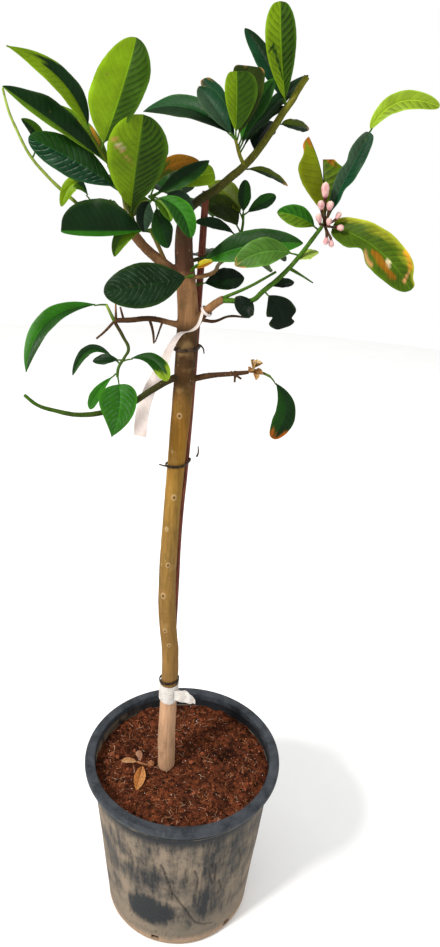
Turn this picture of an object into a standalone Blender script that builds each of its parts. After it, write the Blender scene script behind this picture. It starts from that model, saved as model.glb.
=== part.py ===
"""Potted citron tree: a young standard in a nursery pot, tied to a stake.

Metres, +Z up. The origin is the middle of the pot's underside. Routes, leaves
and buds are given in millimetres, because that is how they are measured.
"""

import math

import bmesh
import bpy
from mathutils import Matrix, Vector

MM = 0.001
CLEARANCE = 0.3

# Pot, in millimetres
POT_HEIGHT = 250.0
RIM_RADIUS = 130.0
RIM_INNER_RADIUS = 116.5
RIM_DEPTH = 9.0
BAND_RADIUS = 121.5
BAND_FOOT = 227.0
WALL_RADIUS = 119.0
BASE_RADIUS = 100.0
FOOT_ROUNDING = 7.0
WALL = 2.5
FLOOR = 4.0
POT_SEGMENTS = 36
NOTCH_WIDTH = 11.0
NOTCH_HEIGHT = 9.0
NOTCH_FOOT = 12.5
NOTCH_COUNT = 6
NOTCH_FIRST_ANGLE = -106.0

# Soil and what stands in it
SOIL_LEVEL = 229.0
SOIL_LUMP = 2.6
LITTER_PLACE = (-55, -4)
TRUNK_DEPTH = 90.0
STAKE_DEPTH = 100.0
STAKE_RADIUS = 3.7
TIE_HEIGHT = 4.0
TIE_THICKNESS = 1.5
TAPE_FOOT = 343.0
TAPE_HEIGHT = 25.5
TAPE_THICKNESS = 1.4
TAG_THICKNESS = 0.9
TAG_LOOP_RADIUS = 5.4

# Leaves
BLADE_THICKNESS = 0.8
STALK_THICKNESS = 1.8
STALK_LENGTH = 8.0
FUSE_SOLVER = "MANIFOLD"
EDGE_WAVE = 0.035

TRUNK_ROUTE = [
    (-22, 0, 139), (-22, 0, 228), (-22.5, 0, 279), (-21.5, 0, 340), (-21, 0, 419), (-24, 0, 449),
    (-26.5, 0, 486), (-27, 0, 520), (-26, 0, 563), (-23, 0, 628), (-20, 0, 684), (-16, 0, 748),
    (-14, 0, 802), (-13, 0, 835), (-16, 0, 872), (-19.5, 0, 907), (-18, 0, 932), (-15, 0, 944),
]
TRUNK_RADII = [11, 11.4, 11.4, 10.6, 10.4, 10.6, 10.6, 10.2, 9.8, 9.6, 9.9, 10.5, 10.8, 10.8, 10, 9, 7.5, 5]
STAKE_ROUTE = [
    (-22, 18, 129), (-21.5, 17.5, 244), (-17, 16.5, 480), (-14.5, 16, 600), (-10.5, 16, 666),
    (-5, 16, 790), (-1, 16, 920), (0, 16, 956),
]


def leaf(along, reach, width, face, bow=5, sweep=0, fold=12, widest=0.52, base=0.9, tip=0.6,
         lean=0.0, slant=0.0):
    """One leaf: where it sits on its stem (0 to 1), stalk foot to tip, greatest width and the
    way its upper face looks. Bow arches the midrib towards the face, sweep bends it sideways
    and fold lifts both halves, in degrees. Widest is where the blade is widest, and a small
    base or tip makes that end round. Lean makes one half wider than the other, and slant sets
    the widest places of the two halves apart."""
    return dict(along=along, reach=reach, width=width, face=face, bow=bow, sweep=sweep, fold=fold,
                widest=widest, base=base, tip=tip, lean=lean, slant=slant)


def half_width(spec, s, half):
    """Width of one half (-1 or 1) at s, from 0 at the blade's foot to 1 at its tip."""
    if s <= 0 or s >= 1:
        return 0.8
    widest = spec["widest"] + half * spec["slant"] / 2
    if s < widest:
        spread = math.sin(math.pi / 2 * s / widest) ** spec["base"]
    else:
        spread = math.sin(math.pi / 2 * (1 - s) / (1 - widest)) ** spec["tip"]
    return max(0.8, spec["width"] / 2 * (1 + half * spec["lean"]) * spread)


WOODY_BRANCHES = [
    # left fork, two stems side by side
    ([(-16, -2, 872), (-31, -6, 884), (-43, -9, 893), (-56, -12, 904), (-66, -14, 916)], (6.0, 4.4)),
    ([(-40, -5, 891), (-58, -4, 903), (-75, 0, 922), (-89, 4, 941)], (4.2, 3.4)),
    # right fork
    ([(-13, -1, 814), (-6, -4, 829), (4, -9, 844), (14, -13, 854), (22, -16, 860)], (5.0, 4.0)),
    # left horizontal branch
    ([(-14, 0, 826), (-30, -6, 831), (-50, -13, 836), (-70, -19, 835), (-86, -24, 835)], (3.4, 2.6)),
    # lower right branch
    ([(-15, 0, 768), (7, 6, 773), (18, 9, 774), (39, 14, 775), (54, 18, 776)], (3.8, 2.4)),
]
WOODY_STUBS = [
    ([(-84, -24, 835), (-94, -26, 824), (-102, -28, 817)], (1.5, 1.0)),
    ([(-83, -24, 836), (-83, -26, 852)], (1.4, 0.8)),
    ([(-76, -21, 836), (-79, -22, 848)], (1.3, 0.8)),
    ([(-51, -13, 836), (-47, -16, 823), (-46, -17, 812)], (1.6, 0.9)),
    ([(-38, -9, 833), (-45, -12, 812)], (1.4, 0.8)),
    ([(39, 14, 778), (39, 12, 766)], (1.5, 1.1)),
    ([(34, 13, 777), (46, 12, 770)], (1.6, 1.1)),
    ([(2, -8, 836), (14, -3, 834), (28, 0, 839), (47, 4, 838)], (1.7, 1.0)),
]

SHOOTS = {
    "shoot_left_upper": dict(
        path=[(-63, -13, 913), (-69, -20, 935), (-78, -32, 958), (-87, -46, 980), (-96, -54, 995),
              (-100, -58, 1002)],
        thick=(4.8, 2.8),
        leaves=[
            leaf(0.22, (14, -42, 84), 53, (0.2, -0.9, -0.5), bow=4, sweep=-2, widest=0.66, tip=0.45),
            leaf(0.84, (32, -19, 85), 44, (-0.1, -1.0, -0.2),
                 bow=5, sweep=2, fold=10, widest=0.56, base=0.80, tip=0.50, lean=-0.12, slant=0.26),
            leaf(0.45, (-74, -33, 41), 32, (0.5, -0.8, 0.2), bow=4, sweep=1, widest=0.56, tip=0.48),
            leaf(0.72, (-83, -21, 55), 23, (0.5, -0.7, 0.5),
                 bow=4, sweep=-3, fold=24, tip=0.70, lean=0.50),
            leaf(0.98, (-61, -27, 61), 22, (0.6, -0.8, 0.2),
                 bow=4, sweep=12, fold=22, widest=0.36, base=0.70, tip=1.00, lean=-0.10),
            leaf(0.60, (-50, 15, 54), 16, (0.3, -0.8, 0.5), bow=3, sweep=4, fold=10),
        ],
    ),
    "shoot_left_long": dict(
        path=[(-90, 4, 943), (-117, 14, 935), (-132, 22, 943), (-146, 28, 953), (-158, 33, 963),
              (-173, 38, 979), (-185, 43, 1000), (-193, 47, 1017), (-198, 50, 1036)],
        thick=(4.0, 2.4),
        leaves=[
            leaf(0.12, (-30, -3, -2), 14, (0.1, -1.0, 0.3), bow=3, sweep=20, fold=20, tip=0.50),
            leaf(0.60, (-7, -7, 34), 13, (0.6, -0.8, -0.1), bow=3, sweep=10, fold=14),
        ],
    ),
    "shoot_centre": dict(
        path=[(-19, -2, 922), (-25, -11, 931), (-38, -20, 942), (-52, -28, 952)],
        thick=(4.4, 2.6),
        leaves=[
            leaf(0.98, (39, -18, -32), 20, (0.0, -0.9, 0.5), bow=5, sweep=-10, widest=0.55, tip=0.50),
            leaf(0.94, (19, -13, -18), 12, (0.0, -0.8, 0.6), bow=3, sweep=-3, fold=14, widest=0.50),
            leaf(0.90, (-6, -18, -27), 18, (0.5, -0.8, 0.4), bow=3, sweep=6, fold=14, widest=0.50),
            leaf(0.86, (-21, 11, -16), 14, (-0.5, -0.9, 0.1), bow=3, sweep=6, fold=14),
            leaf(0.80, (33, 16, -10), 15, (0.5, -0.8, 0.3), bow=3, sweep=-9),
            leaf(0.94, (57, 23, 23), 21, (0.2, -0.9, 0.4),
                 bow=3, sweep=-3, fold=14, widest=0.84, base=1.80, tip=0.35),
            leaf(0.98, (53, 10, 33), 17, (-0.1, -0.9, 0.4), bow=4, sweep=3, fold=14, tip=0.70),
            leaf(0.84, (13, -6, -40), 21, (0.4, -0.9, 0.3), bow=3, sweep=3, fold=14),
            leaf(0.96, (43, 19, 32), 15, (0.0, -0.9, 0.5), bow=3, sweep=-12, fold=14, widest=0.58),
        ],
    ),
    "shoot_left_middle": dict(
        path=[(-36, -7, 889), (-43, -18, 907), (-51, -24, 923)],
        thick=(4.8, 3.2),
        leaves=[
            leaf(0.98, (-77, -34, -1), 33, (0.4, -0.9, 0.3),
                 bow=4, sweep=-2, fold=16, widest=0.56, tip=0.36, lean=0.74),
            leaf(0.90, (-33, -17, -21), 15, (0.2, -0.9, 0.4), bow=3, sweep=11, fold=18),
        ],
    ),
    "leaf_front": dict(
        path=[(-15, -4, 877), (-9, -18, 881)],
        thick=(3.6, 2.8),
        leaves=[
            leaf(0.98, (-83, -26, -15), 42, (0.2, -0.9, 0.3), bow=5, sweep=-1, fold=8, tip=0.50),
        ],
    ),
    "shoot_right_main": dict(
        path=[(-16, 0, 940), (-4, 4, 950), (9, 6, 958), (22, 9, 969), (36, 12, 981),
              (48, 15, 995), (60, 18, 1013), (68, 20, 1026), (77, 22, 1039), (83, 24, 1050),
              (89, 25, 1059)],
        thick=(8.4, 5.8),
        leaves=[
            leaf(0.80, (-14, -15, 83), 28, (0.0, -1.0, -0.2),
                 bow=4, sweep=-2, fold=14, widest=0.66, tip=0.36),
            leaf(0.80, (-42, 23, 65), 19, (0.1, -0.9, 0.4), bow=3, sweep=2, fold=14, tip=0.60),
            leaf(0.48, (20, 28, 31), 25, (-0.1, -0.7, 0.7), bow=4, sweep=-3, fold=14, tip=0.70),
            leaf(0.70, (34, 21, -2), 13, (0.4, -0.7, 0.6), bow=3, sweep=1, fold=14, base=0.50),
            leaf(0.38, (49, 25, -14), 11, (0.5, -0.6, 0.6), bow=3, sweep=-4, fold=14),
        ],
        twigs=[([(36, 12, 980), (31, 4, 988), (25, -8, 1003)], (4.0, 2.8))],
        twig_leaves=[
            leaf(0.98, (-3, -12, 55), 29, (0.1, -1.0, -0.2),
                 bow=3, fold=14, widest=0.70, tip=0.22, lean=0.27),
            leaf(0.90, (8, 8, 63), 30, (0.2, -1.0, 0.1), bow=3, sweep=2, widest=0.88, tip=0.16),
            leaf(0.94, (-36, 25, 44), 21, (0.0, -0.9, 0.5), bow=4, fold=14, widest=0.60, tip=0.60),
            leaf(0.80, (-33, 38, 55), 17, (0.0, -0.8, 0.6),
                 bow=4, sweep=2, fold=14, widest=0.70, tip=0.30),
            leaf(0.70, (31, 16, 60), 21, (-0.3, -0.9, 0.4), bow=4, sweep=-2, fold=14, tip=0.70),
            leaf(0.60, (43, 30, 40), 16, (-0.2, -0.7, 0.7), bow=3, sweep=-7, fold=14),
            leaf(0.50, (63, 48, 71), 15, (-0.3, -0.7, 0.7), bow=4, sweep=-4, fold=14, widest=0.70),
            leaf(0.98, (-88, 48, 20), 23, (-0.3, -0.8, 0.5),
                 bow=8, sweep=12, fold=16, widest=0.50, tip=0.80),
        ],
    ),
    "shoot_right_centre": dict(
        path=[(-14, -1, 891), (2, 5, 896), (18, 16, 902), (34, 24, 911), (38, 26, 924), (38, 27, 936)],
        thick=(4.0, 2.6),
        leaves=[
            leaf(0.72, (-44, -22, 15), 12, (0.5, -0.7, 0.5), bow=3, sweep=4, fold=14),
            leaf(0.78, (-38, 5, 28), 28, (0.3, -0.8, 0.5), bow=3, sweep=6, fold=14),
            leaf(0.93, (-36, 25, 30), 24, (-0.1, -0.8, 0.6), bow=3, sweep=6, fold=14),
            leaf(0.97, (0, -3, 34), 14, (0.3, -1.0, -0.1), bow=2, sweep=-1, fold=16, tip=0.45),
            leaf(0.98, (31, 3, 20), 14, (-0.2, -0.9, 0.4), bow=2, fold=16, widest=0.60, tip=0.45),
        ],
    ),
    "leaf_right_big": dict(
        path=[(-14, -3, 880), (-6, -12, 890)],
        thick=(3.6, 2.8),
        leaves=[
            leaf(0.98, (98, -26, 29), 30, (-0.3, -0.8, 0.4), bow=6, sweep=-6, tip=0.70),
            leaf(0.50, (20, -13, 11), 8, (-0.6, -0.7, 0.4), bow=2, fold=20),
        ],
    ),
    "leaf_right_dark": dict(
        path=[(-13, 3, 867), (-4, 8, 868)],
        thick=(3.6, 2.8),
        leaves=[
            leaf(0.98, (47, 16, 6), 24, (0.2, -0.8, 0.5), bow=3),
        ],
    ),
    "shoot_flower": dict(
        path=[(19, -15, 858), (28, -19, 859), (49, -28, 862), (58, -34, 872), (73, -42, 888),
              (89, -50, 910), (95, -53, 920), (102, -57, 932), (107, -60, 941)],
        thick=(5.6, 3.6),
        leaves=[
            leaf(0.72, (-59, -4, -11), 26, (0.0, -0.9, 0.4),
                 bow=5, sweep=7, fold=10, widest=0.50, tip=0.60),
            leaf(0.66, (22, -1, 10), 15, (-0.4, -0.4, 0.8), bow=2, fold=14),
            leaf(0.36, (23, 1, -35), 31, (0.2, -1.0, 0.1), bow=4, sweep=-3, widest=0.60, tip=0.35),
            leaf(0.40, (26, 12, 4), 11, (0.2, -0.7, 0.7), bow=2, fold=14),
            leaf(0.26, (-13, -1, -15), 26, (-0.4, -0.9, 0.4), bow=3, fold=14, base=0.60, tip=0.50),
            leaf(0.93, (-39, -3, 14), 19, (0.1, -1.0, 0.2), bow=4, sweep=3, fold=20, tip=0.60),
            leaf(0.98, (-20, 5, 70), 20, (0.0, -1.0, 0.1),
                 bow=4, sweep=5, fold=14, widest=0.60, tip=0.55, lean=-0.94),
            leaf(0.98, (-5, 5, 53), 24, (0.0, -1.0, 0.1),
                 bow=3, fold=14, widest=0.86, base=1.10, tip=0.14, lean=0.94),
            leaf(0.98, (29, -15, 76), 18, (-0.5, -0.8, 0.0), bow=3, fold=18, widest=0.60, tip=0.30),
            leaf(0.98, (78, -33, -48), 35, (-0.1, -0.9, 0.4),
                 bow=6, sweep=-9, fold=10, widest=0.60, base=0.30, tip=0.42),
        ],
        twigs=[
            ([(107, -60, 941), (124, -66, 987), (132, -73, 1010)], (2.6, 2.2)),
            ([(22, -16, 861), (46, -22, 874), (60, -24, 883), (70, -27, 890)], (3.6, 2.4)),
            ([(80, -44, 897), (93, -40, 890), (105, -36, 883)], (3.6, 1.2)),
        ],
        twig_leaves=[
            leaf(0.96, (55, -12, 29), 16, (-0.4, -0.9, 0.3),
                 bow=3, sweep=-17, fold=16, widest=0.55, base=0.50, tip=0.42),
        ],
    ),
    "leaf_left_arch": dict(
        path=[(-85, -24, 835), (-92, -27, 851)],
        thick=(3.6, 2.8),
        leaves=[
            leaf(0.98, (-72, -39, -59), 20, (-0.1, -0.8, 0.6), bow=6, sweep=23, fold=16, tip=0.80),
        ],
    ),
    "shoot_low_left": dict(
        path=[(-84, -24, 833), (-75, -28, 819), (-70, -31, 809), (-74, -36, 801), (-79, -40, 792),
              (-80, -42, 783)],
        thick=(3.6, 2.8),
        leaves=[
            leaf(0.98, (-4, -20, -57), 39, (0.2, -0.9, 0.3),
                 bow=4, sweep=-5, widest=0.24, base=0.40, tip=0.95, lean=0.15),
            leaf(0.72, (45, -17, -13), 17, (0.0, -0.6, 0.8),
                 bow=4, sweep=-13, fold=18, widest=0.70, tip=0.50),
            leaf(0.78, (-46, -7, -11), 11, (-0.1, -0.7, 0.7), bow=3, sweep=22, fold=20),
            leaf(0.70, (-30, 3, -3), 12, (-0.1, -0.7, 0.7), bow=2, fold=20),
            leaf(0.92, (-30, 9, -43), 12, (-0.4, -0.9, 0.1),
                 bow=3, sweep=3, fold=16, widest=0.70, tip=0.50),
        ],
    ),
    "twig_low_left": dict(
        path=[(-16, -2, 775), (-27, -8, 773), (-49, -22, 763), (-70, -36, 752), (-94, -50, 748),
              (-117, -62, 749), (-137, -72, 756), (-152, -78, 763), (-163, -82, 774)],
        thick=(8.0, 3.2),
        leaves=[],
    ),
    "shoot_back_left": dict(
        path=[(-66, -4, 910), (-72, 14, 920), (-80, 40, 932), (-86, 66, 946)],
        thick=(4.2, 2.6),
        leaves=[
            leaf(0.55, (-52, 34, -6), 32, (-0.2, 0.1, 1.0), bow=8, fold=14),
            leaf(0.75, (30, 30, 24), 32, (0.0, -0.3, 1.0), bow=6, fold=14),
            leaf(0.90, (-40, 60, 14), 36, (0.1, -0.2, 1.0), bow=8, fold=12),
            leaf(0.98, (-4, 74, 32), 36, (0.0, -0.5, 0.9), bow=6, fold=12),
        ],
    ),
    "shoot_back_middle": dict(
        path=[(-20, 3, 926), (-26, 30, 938), (-32, 56, 946), (-36, 84, 950)],
        thick=(4.6, 2.6),
        leaves=[
            leaf(0.50, (-50, 30, 26), 34, (0.2, -0.4, 0.9), bow=6, fold=14),
            leaf(0.66, (40, 48, -22), 30, (-0.2, -0.4, 0.9), bow=6, fold=14),
            leaf(0.86, (-12, 60, 20), 34, (0.1, -0.4, 0.9), bow=8, fold=12),
            leaf(0.98, (10, 72, -8), 38, (-0.1, -0.3, 1.0), bow=10, fold=12),
        ],
    ),
    "shoot_back_right": dict(
        path=[(-12, -3, 876), (8, 2, 880), (17, 30, 886), (30, 62, 888), (42, 84, 886)],
        thick=(4.6, 2.6),
        leaves=[
            leaf(0.50, (-36, 50, -4), 34, (0.1, -0.4, 0.9), bow=6, fold=14),
            leaf(0.66, (50, 44, -18), 32, (-0.2, -0.3, 1.0), bow=8, fold=12),
            leaf(0.86, (-4, 70, -14), 38, (0.1, -0.3, 1.0), bow=8, fold=12),
            leaf(0.98, (52, 50, -10), 36, (-0.1, -0.3, 1.0), bow=10, fold=12),
        ],
    ),
    "leaf_low_right": dict(
        path=[(55, 18, 777), (68, 18, 776), (77, 16, 773)],
        thick=(3.2, 2.8),
        leaves=[
            leaf(0.98, (7, -8, -68), 25, (0.2, -1.0, 0.1),
                 bow=4, sweep=-15, fold=18, widest=0.62, tip=0.40),
        ],
    ),
}

BUDS = [
    # bud foot and tip from the shoot's end, greatest radius
    ((-4, -12, 19), (-5, -13, 34), 3.6),
    ((-6, -12, 10), (-8, -15, 19), 3.1),
    ((0, -13, 10), (1, -16, 19), 3.1),
    ((-6, -11, -1), (-9, -14, 8), 2.7),
    ((1, -13, -2), (1, -16, 5), 2.6),
    ((8, -12, -3), (15, -14, -3), 2.8),
    ((1, -11, -11), (0, -14, -18), 2.6),
    ((5, -11, -13), (6, -13, -20), 2.4),
    ((7, -10, 3), (11, -11, 10), 2.3),
]


def clear_scene():
    for found in list(bpy.data.objects):
        bpy.data.objects.remove(found, do_unlink=True)


def material(name, colour, roughness, metallic=0.0):
    made = bpy.data.materials.new(name)
    made.use_nodes = True
    shader = made.node_tree.nodes["Principled BSDF"]
    shader.inputs["Base Color"].default_value = (*colour, 1.0)
    shader.inputs["Roughness"].default_value = roughness
    shader.inputs["Metallic"].default_value = metallic
    return made


def object_from(name, points, faces):
    """A mesh object from points in millimetres, with its faces turned outwards."""
    mesh = bpy.data.meshes.new(name)
    mesh.from_pydata([Vector(p) * MM for p in points], [], faces)
    work = bmesh.new()
    work.from_mesh(mesh)
    bmesh.ops.recalc_face_normals(work, faces=work.faces)
    work.to_mesh(mesh)
    work.free()
    made = bpy.data.objects.new(name, mesh)
    bpy.context.collection.objects.link(made)
    return made


def finish(made, finish_material, smooth_angle=40.0):
    made.data.materials.clear()
    made.data.materials.append(finish_material)
    made.data.shade_smooth()
    made.data.set_sharp_from_angle(angle=math.radians(smooth_angle))


def applied(made, modifier):
    bpy.ops.object.select_all(action="DESELECT")
    bpy.context.view_layer.objects.active = made
    made.select_set(True)
    bpy.ops.object.modifier_apply(modifier=modifier.name)


def fuse(first, others):
    """Joins the others to the first by one union, then removes them."""
    if not others:
        return
    group = bpy.data.collections.new(first.name + "_parts")
    bpy.context.scene.collection.children.link(group)
    for other in others:
        bpy.context.collection.objects.unlink(other)
        group.objects.link(other)
    union = first.modifiers.new("join", "BOOLEAN")
    union.operation = "UNION"
    union.operand_type = "COLLECTION"
    union.collection = group
    union.solver = FUSE_SOLVER
    applied(first, union)
    for other in list(group.objects):
        bpy.data.objects.remove(other, do_unlink=True)
    bpy.data.collections.remove(group)


def cut(target, cutter, keep_cutter=False):
    cutter.hide_render = True
    cutter.display_type = "WIRE"
    difference = target.modifiers.new("cut", "BOOLEAN")
    difference.operation = "DIFFERENCE"
    difference.object = cutter
    difference.solver = FUSE_SOLVER
    applied(target, difference)
    if not keep_cutter:
        bpy.data.objects.remove(cutter, do_unlink=True)


def rings_mesh(rings):
    """Points and faces of a closed tube through rings of points, with flat ends."""
    sides = len(rings[0])
    points = [p for ring in rings for p in ring]
    faces = []
    for row in range(len(rings) - 1):
        for side in range(sides):
            a = row * sides + side
            b = row * sides + (side + 1) % sides
            faces.append((a, b, b + sides, a + sides))
    faces.append(tuple(reversed(range(sides))))
    faces.append(tuple(range(len(points) - sides, len(points))))
    return points, faces


def tube(name, route, radii, sides):
    """A closed round rod along a route; radii are one pair, end to end, or one for each point."""
    route = [Vector(p) for p in route]
    if len(radii) == 2 and len(route) != 2:
        last = len(route) - 1
        radii = [radii[0] + (radii[1] - radii[0]) * i / last for i in range(len(route))]
    rings = []
    across = None
    for i, middle in enumerate(route):
        ahead = route[min(i + 1, len(route) - 1)] - route[max(i - 1, 0)]
        ahead.normalize()
        if across is None:
            across = ahead.orthogonal()
        across = (across - ahead * across.dot(ahead)).normalized()
        other = ahead.cross(across)
        ring = []
        for k in range(sides):
            turn = math.tau * k / sides
            ring.append(middle + (across * math.cos(turn) + other * math.sin(turn)) * radii[i])
        rings.append(ring)
    return object_from(name, *rings_mesh(rings))


def point_along(route, share):
    """The point at this share of a route's length."""
    route = [Vector(p) for p in route]
    lengths = [(b - a).length for a, b in zip(route, route[1:])]
    left = share * sum(lengths)
    for a, b, length in zip(route, route[1:], lengths):
        if left <= length:
            return a.lerp(b, left / length)
        left -= length
    return route[-1]


def midrib_frame(start, spec, t):
    """Place, side direction and upward direction of the midrib at t, from 0 to 1."""
    reach = Vector(spec["reach"])
    ahead = reach.normalized()
    face = Vector(spec["face"])
    face = (face - ahead * face.dot(ahead)).normalized()
    side = ahead.cross(face)
    bend = reach / 2 + face * 2 * spec["bow"] + side * 2 * spec["sweep"]
    place = start + bend * 2 * t * (1 - t) + reach * t * t
    tangent = (bend * (1 - t) + (reach - bend) * t).normalized()
    up = (face - tangent * face.dot(tangent)).normalized()
    return place, tangent.cross(up), up


def leaf_piece(name, start, spec, extra=0.0):
    """One leaf: a round stalk that widens into a thin blade, folded along its midrib and waved
    along its edge, all one closed sheet. Both faces are split into triangles alike."""
    length = Vector(spec["reach"]).length
    stalk = min(0.14, STALK_LENGTH / length)
    rows = 5 + int(length / 28)
    stations = [(0.0, STALK_THICKNESS / 2, STALK_THICKNESS / 2, STALK_THICKNESS / 2, 0.0, 0.0)]
    for row in range(rows + 1):
        s = 0.6 * row / rows + 0.2 * (1 - math.cos(math.pi * row / rows))
        left = half_width(spec, s, -1)
        right = half_width(spec, s, 1)
        wave = EDGE_WAVE * (left + right) * math.sin(math.tau * 1.6 * s + spec["width"])
        half = BLADE_THICKNESS / 2 if row else STALK_THICKNESS / 2
        fold = math.radians(spec["fold"]) if row else 0.0
        stations.append((stalk + (1 - stalk) * s, left, right, half, fold, wave))
    top = []
    bottom = []
    for t, left_width, right_width, half, fold, wave in stations:
        place, across, up = midrib_frame(start, spec, t)
        half += extra
        out = across * math.cos(fold)
        rise = up * math.sin(fold)
        left = place + (rise - out) * (left_width + extra) + up * wave
        right = place + (rise + out) * (right_width + extra) - up * wave
        top.append([left + up * half, place + up * half, right + up * half])
        bottom.append([left - up * half, place - up * half, right - up * half])
    points = [p for row in top + bottom for p in row]
    count = len(stations)
    under = 3 * count
    faces = []
    for row in range(count - 1):
        for col in range(2):
            a = row * 3 + col
            b, c, d = a + 1, a + 4, a + 3
            for corners in ((a, b, c), (a, c, d)) if col == 0 else ((a, b, d), (b, c, d)):
                faces.append(corners)
                faces.append(tuple(under + i for i in reversed(corners)))
        for a, d in ((row * 3, row * 3 + 3), (row * 3 + 2, row * 3 + 5)):
            faces.append((a, d, under + d, under + a))
    for row in (0, count - 1):
        a = row * 3
        faces.append((a, a + 1, a + 2, under + a + 2, under + a + 1, under + a))
    return object_from(name, points, faces)


def shoot_body(name, spec, extra=0.0):
    """A stem with its leaves fused on; extra makes it thicker all over."""
    stem = tube(name, spec["path"], (spec["thick"][0] / 2 + extra, spec["thick"][1] / 2 + extra), 7)
    pieces = []
    for i, part in enumerate(spec["leaves"]):
        start = point_along(spec["path"], part["along"])
        pieces.append(leaf_piece(f"{name}_{i}", start, part, extra))
    for k, (route, thick) in enumerate(spec.get("twigs", [])):
        pieces.append(tube(f"{name}_twig{k}", route, (thick[0] / 2 + extra, thick[1] / 2 + extra), 6))
    for i, part in enumerate(spec.get("twig_leaves", [])):
        start = point_along(spec["twigs"][0][0], part["along"])
        pieces.append(leaf_piece(f"{name}_t{i}", start, part, extra))
    fuse(stem, pieces)
    return stem


def make_shoot(name, spec, leaf_material, wood_clearance):
    stem = shoot_body(name, spec)
    cut(stem, wood_clearance, keep_cutter=True)
    finish(stem, leaf_material)
    return stem


def lathe(name, profile, segments):
    """A solid of revolution about Z from (radius, height) pairs; it starts and ends on the axis."""
    points = []
    faces = []
    ring_of = []
    for radius, height in profile:
        if radius == 0:
            ring_of.append([len(points)])
            points.append((0, 0, height))
            continue
        ring_of.append(list(range(len(points), len(points) + segments)))
        for k in range(segments):
            turn = math.tau * k / segments
            points.append((radius * math.cos(turn), radius * math.sin(turn), height))
    for lower, upper in zip(ring_of, ring_of[1:]):
        for k in range(segments):
            a = lower[k % len(lower)]
            b = lower[(k + 1) % len(lower)]
            c = upper[(k + 1) % len(upper)]
            d = upper[k % len(upper)]
            corners = [a, b, c, d]
            faces.append([p for i, p in enumerate(corners) if p != corners[i - 1]])
    return object_from(name, points, faces)


def inner_radius(height):
    """Inside radius of the pot's wall at a height."""
    share = height / BAND_FOOT
    return BASE_RADIUS + (WALL_RADIUS - BASE_RADIUS) * share - WALL


def make_pot(plastic):
    rounding = [
        (BASE_RADIUS - FOOT_ROUNDING * (1 - math.sin(math.radians(a))),
         FOOT_ROUNDING * (1 - math.cos(math.radians(a))))
        for a in (0, 30, 60, 90)
    ]
    rim_top = POT_HEIGHT
    outside = [(0, 0)] + rounding + [
        (WALL_RADIUS, BAND_FOOT),
        (BAND_RADIUS - 0.6, BAND_FOOT + 0.8),
        (BAND_RADIUS, POT_HEIGHT - RIM_DEPTH - 1),
        (RIM_RADIUS - 2, POT_HEIGHT - RIM_DEPTH),
        (RIM_RADIUS - 0.3, POT_HEIGHT - RIM_DEPTH + 1.5),
        (RIM_RADIUS, rim_top - 3),
        (RIM_RADIUS - 1.5, rim_top - 0.6),
        (RIM_RADIUS - 4, rim_top),
        (RIM_INNER_RADIUS + 3, rim_top),
        (RIM_INNER_RADIUS + 0.6, rim_top - 0.8),
        (RIM_INNER_RADIUS, rim_top - 3),
    ]
    inside = [
        (inner_radius(BAND_FOOT), BAND_FOOT),
        (inner_radius(FLOOR + 6), FLOOR + 6),
        (inner_radius(FLOOR) - 5, FLOOR),
        (0, FLOOR),
    ]
    pot = lathe("pot", outside + inside, POT_SEGMENTS)
    for k in range(NOTCH_COUNT):
        turn = math.radians(NOTCH_FIRST_ANGLE + 360.0 * k / NOTCH_COUNT)
        box = box_at("notch", (BASE_RADIUS + 10, 0, NOTCH_FOOT + NOTCH_HEIGHT / 2),
                     (44, NOTCH_WIDTH, NOTCH_HEIGHT), Matrix.Rotation(turn, 4, "Z"))
        cut(pot, box)
    finish(pot, plastic, 30.0)
    return pot


def box_at(name, middle, size, turn=None):
    work = bmesh.new()
    bmesh.ops.create_cube(work, size=1.0)
    bmesh.ops.scale(work, vec=Vector(size) * MM, verts=work.verts)
    bmesh.ops.translate(work, vec=Vector(middle) * MM, verts=work.verts)
    if turn is not None:
        bmesh.ops.transform(work, matrix=turn, verts=work.verts)
    mesh = bpy.data.meshes.new(name)
    work.to_mesh(mesh)
    work.free()
    made = bpy.data.objects.new(name, mesh)
    bpy.context.collection.objects.link(made)
    return made


def soil_height(x, y):
    """Height of the soil's uneven top: soft lumps and two shallow hollows, level at the litter."""
    lumps = math.sin(x * 0.11 + 1.3) * math.cos(y * 0.13) + 0.6 * math.sin(x * 0.23 - y * 0.17)
    lumps += 0.5 * math.cos(x * 0.31 + y * 0.27)
    hollow = math.exp(-((x - 45) ** 2 + (y - 25) ** 2) / 500)
    hollow += math.exp(-((x + 45) ** 2 + (y - 10) ** 2) / 300)
    calm = math.exp(-((x - LITTER_PLACE[0]) ** 2 + (y - LITTER_PLACE[1] + 16) ** 2) / 2400)
    return SOIL_LEVEL + (SOIL_LUMP * lumps - 5 * hollow) * (1 - calm)


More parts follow.
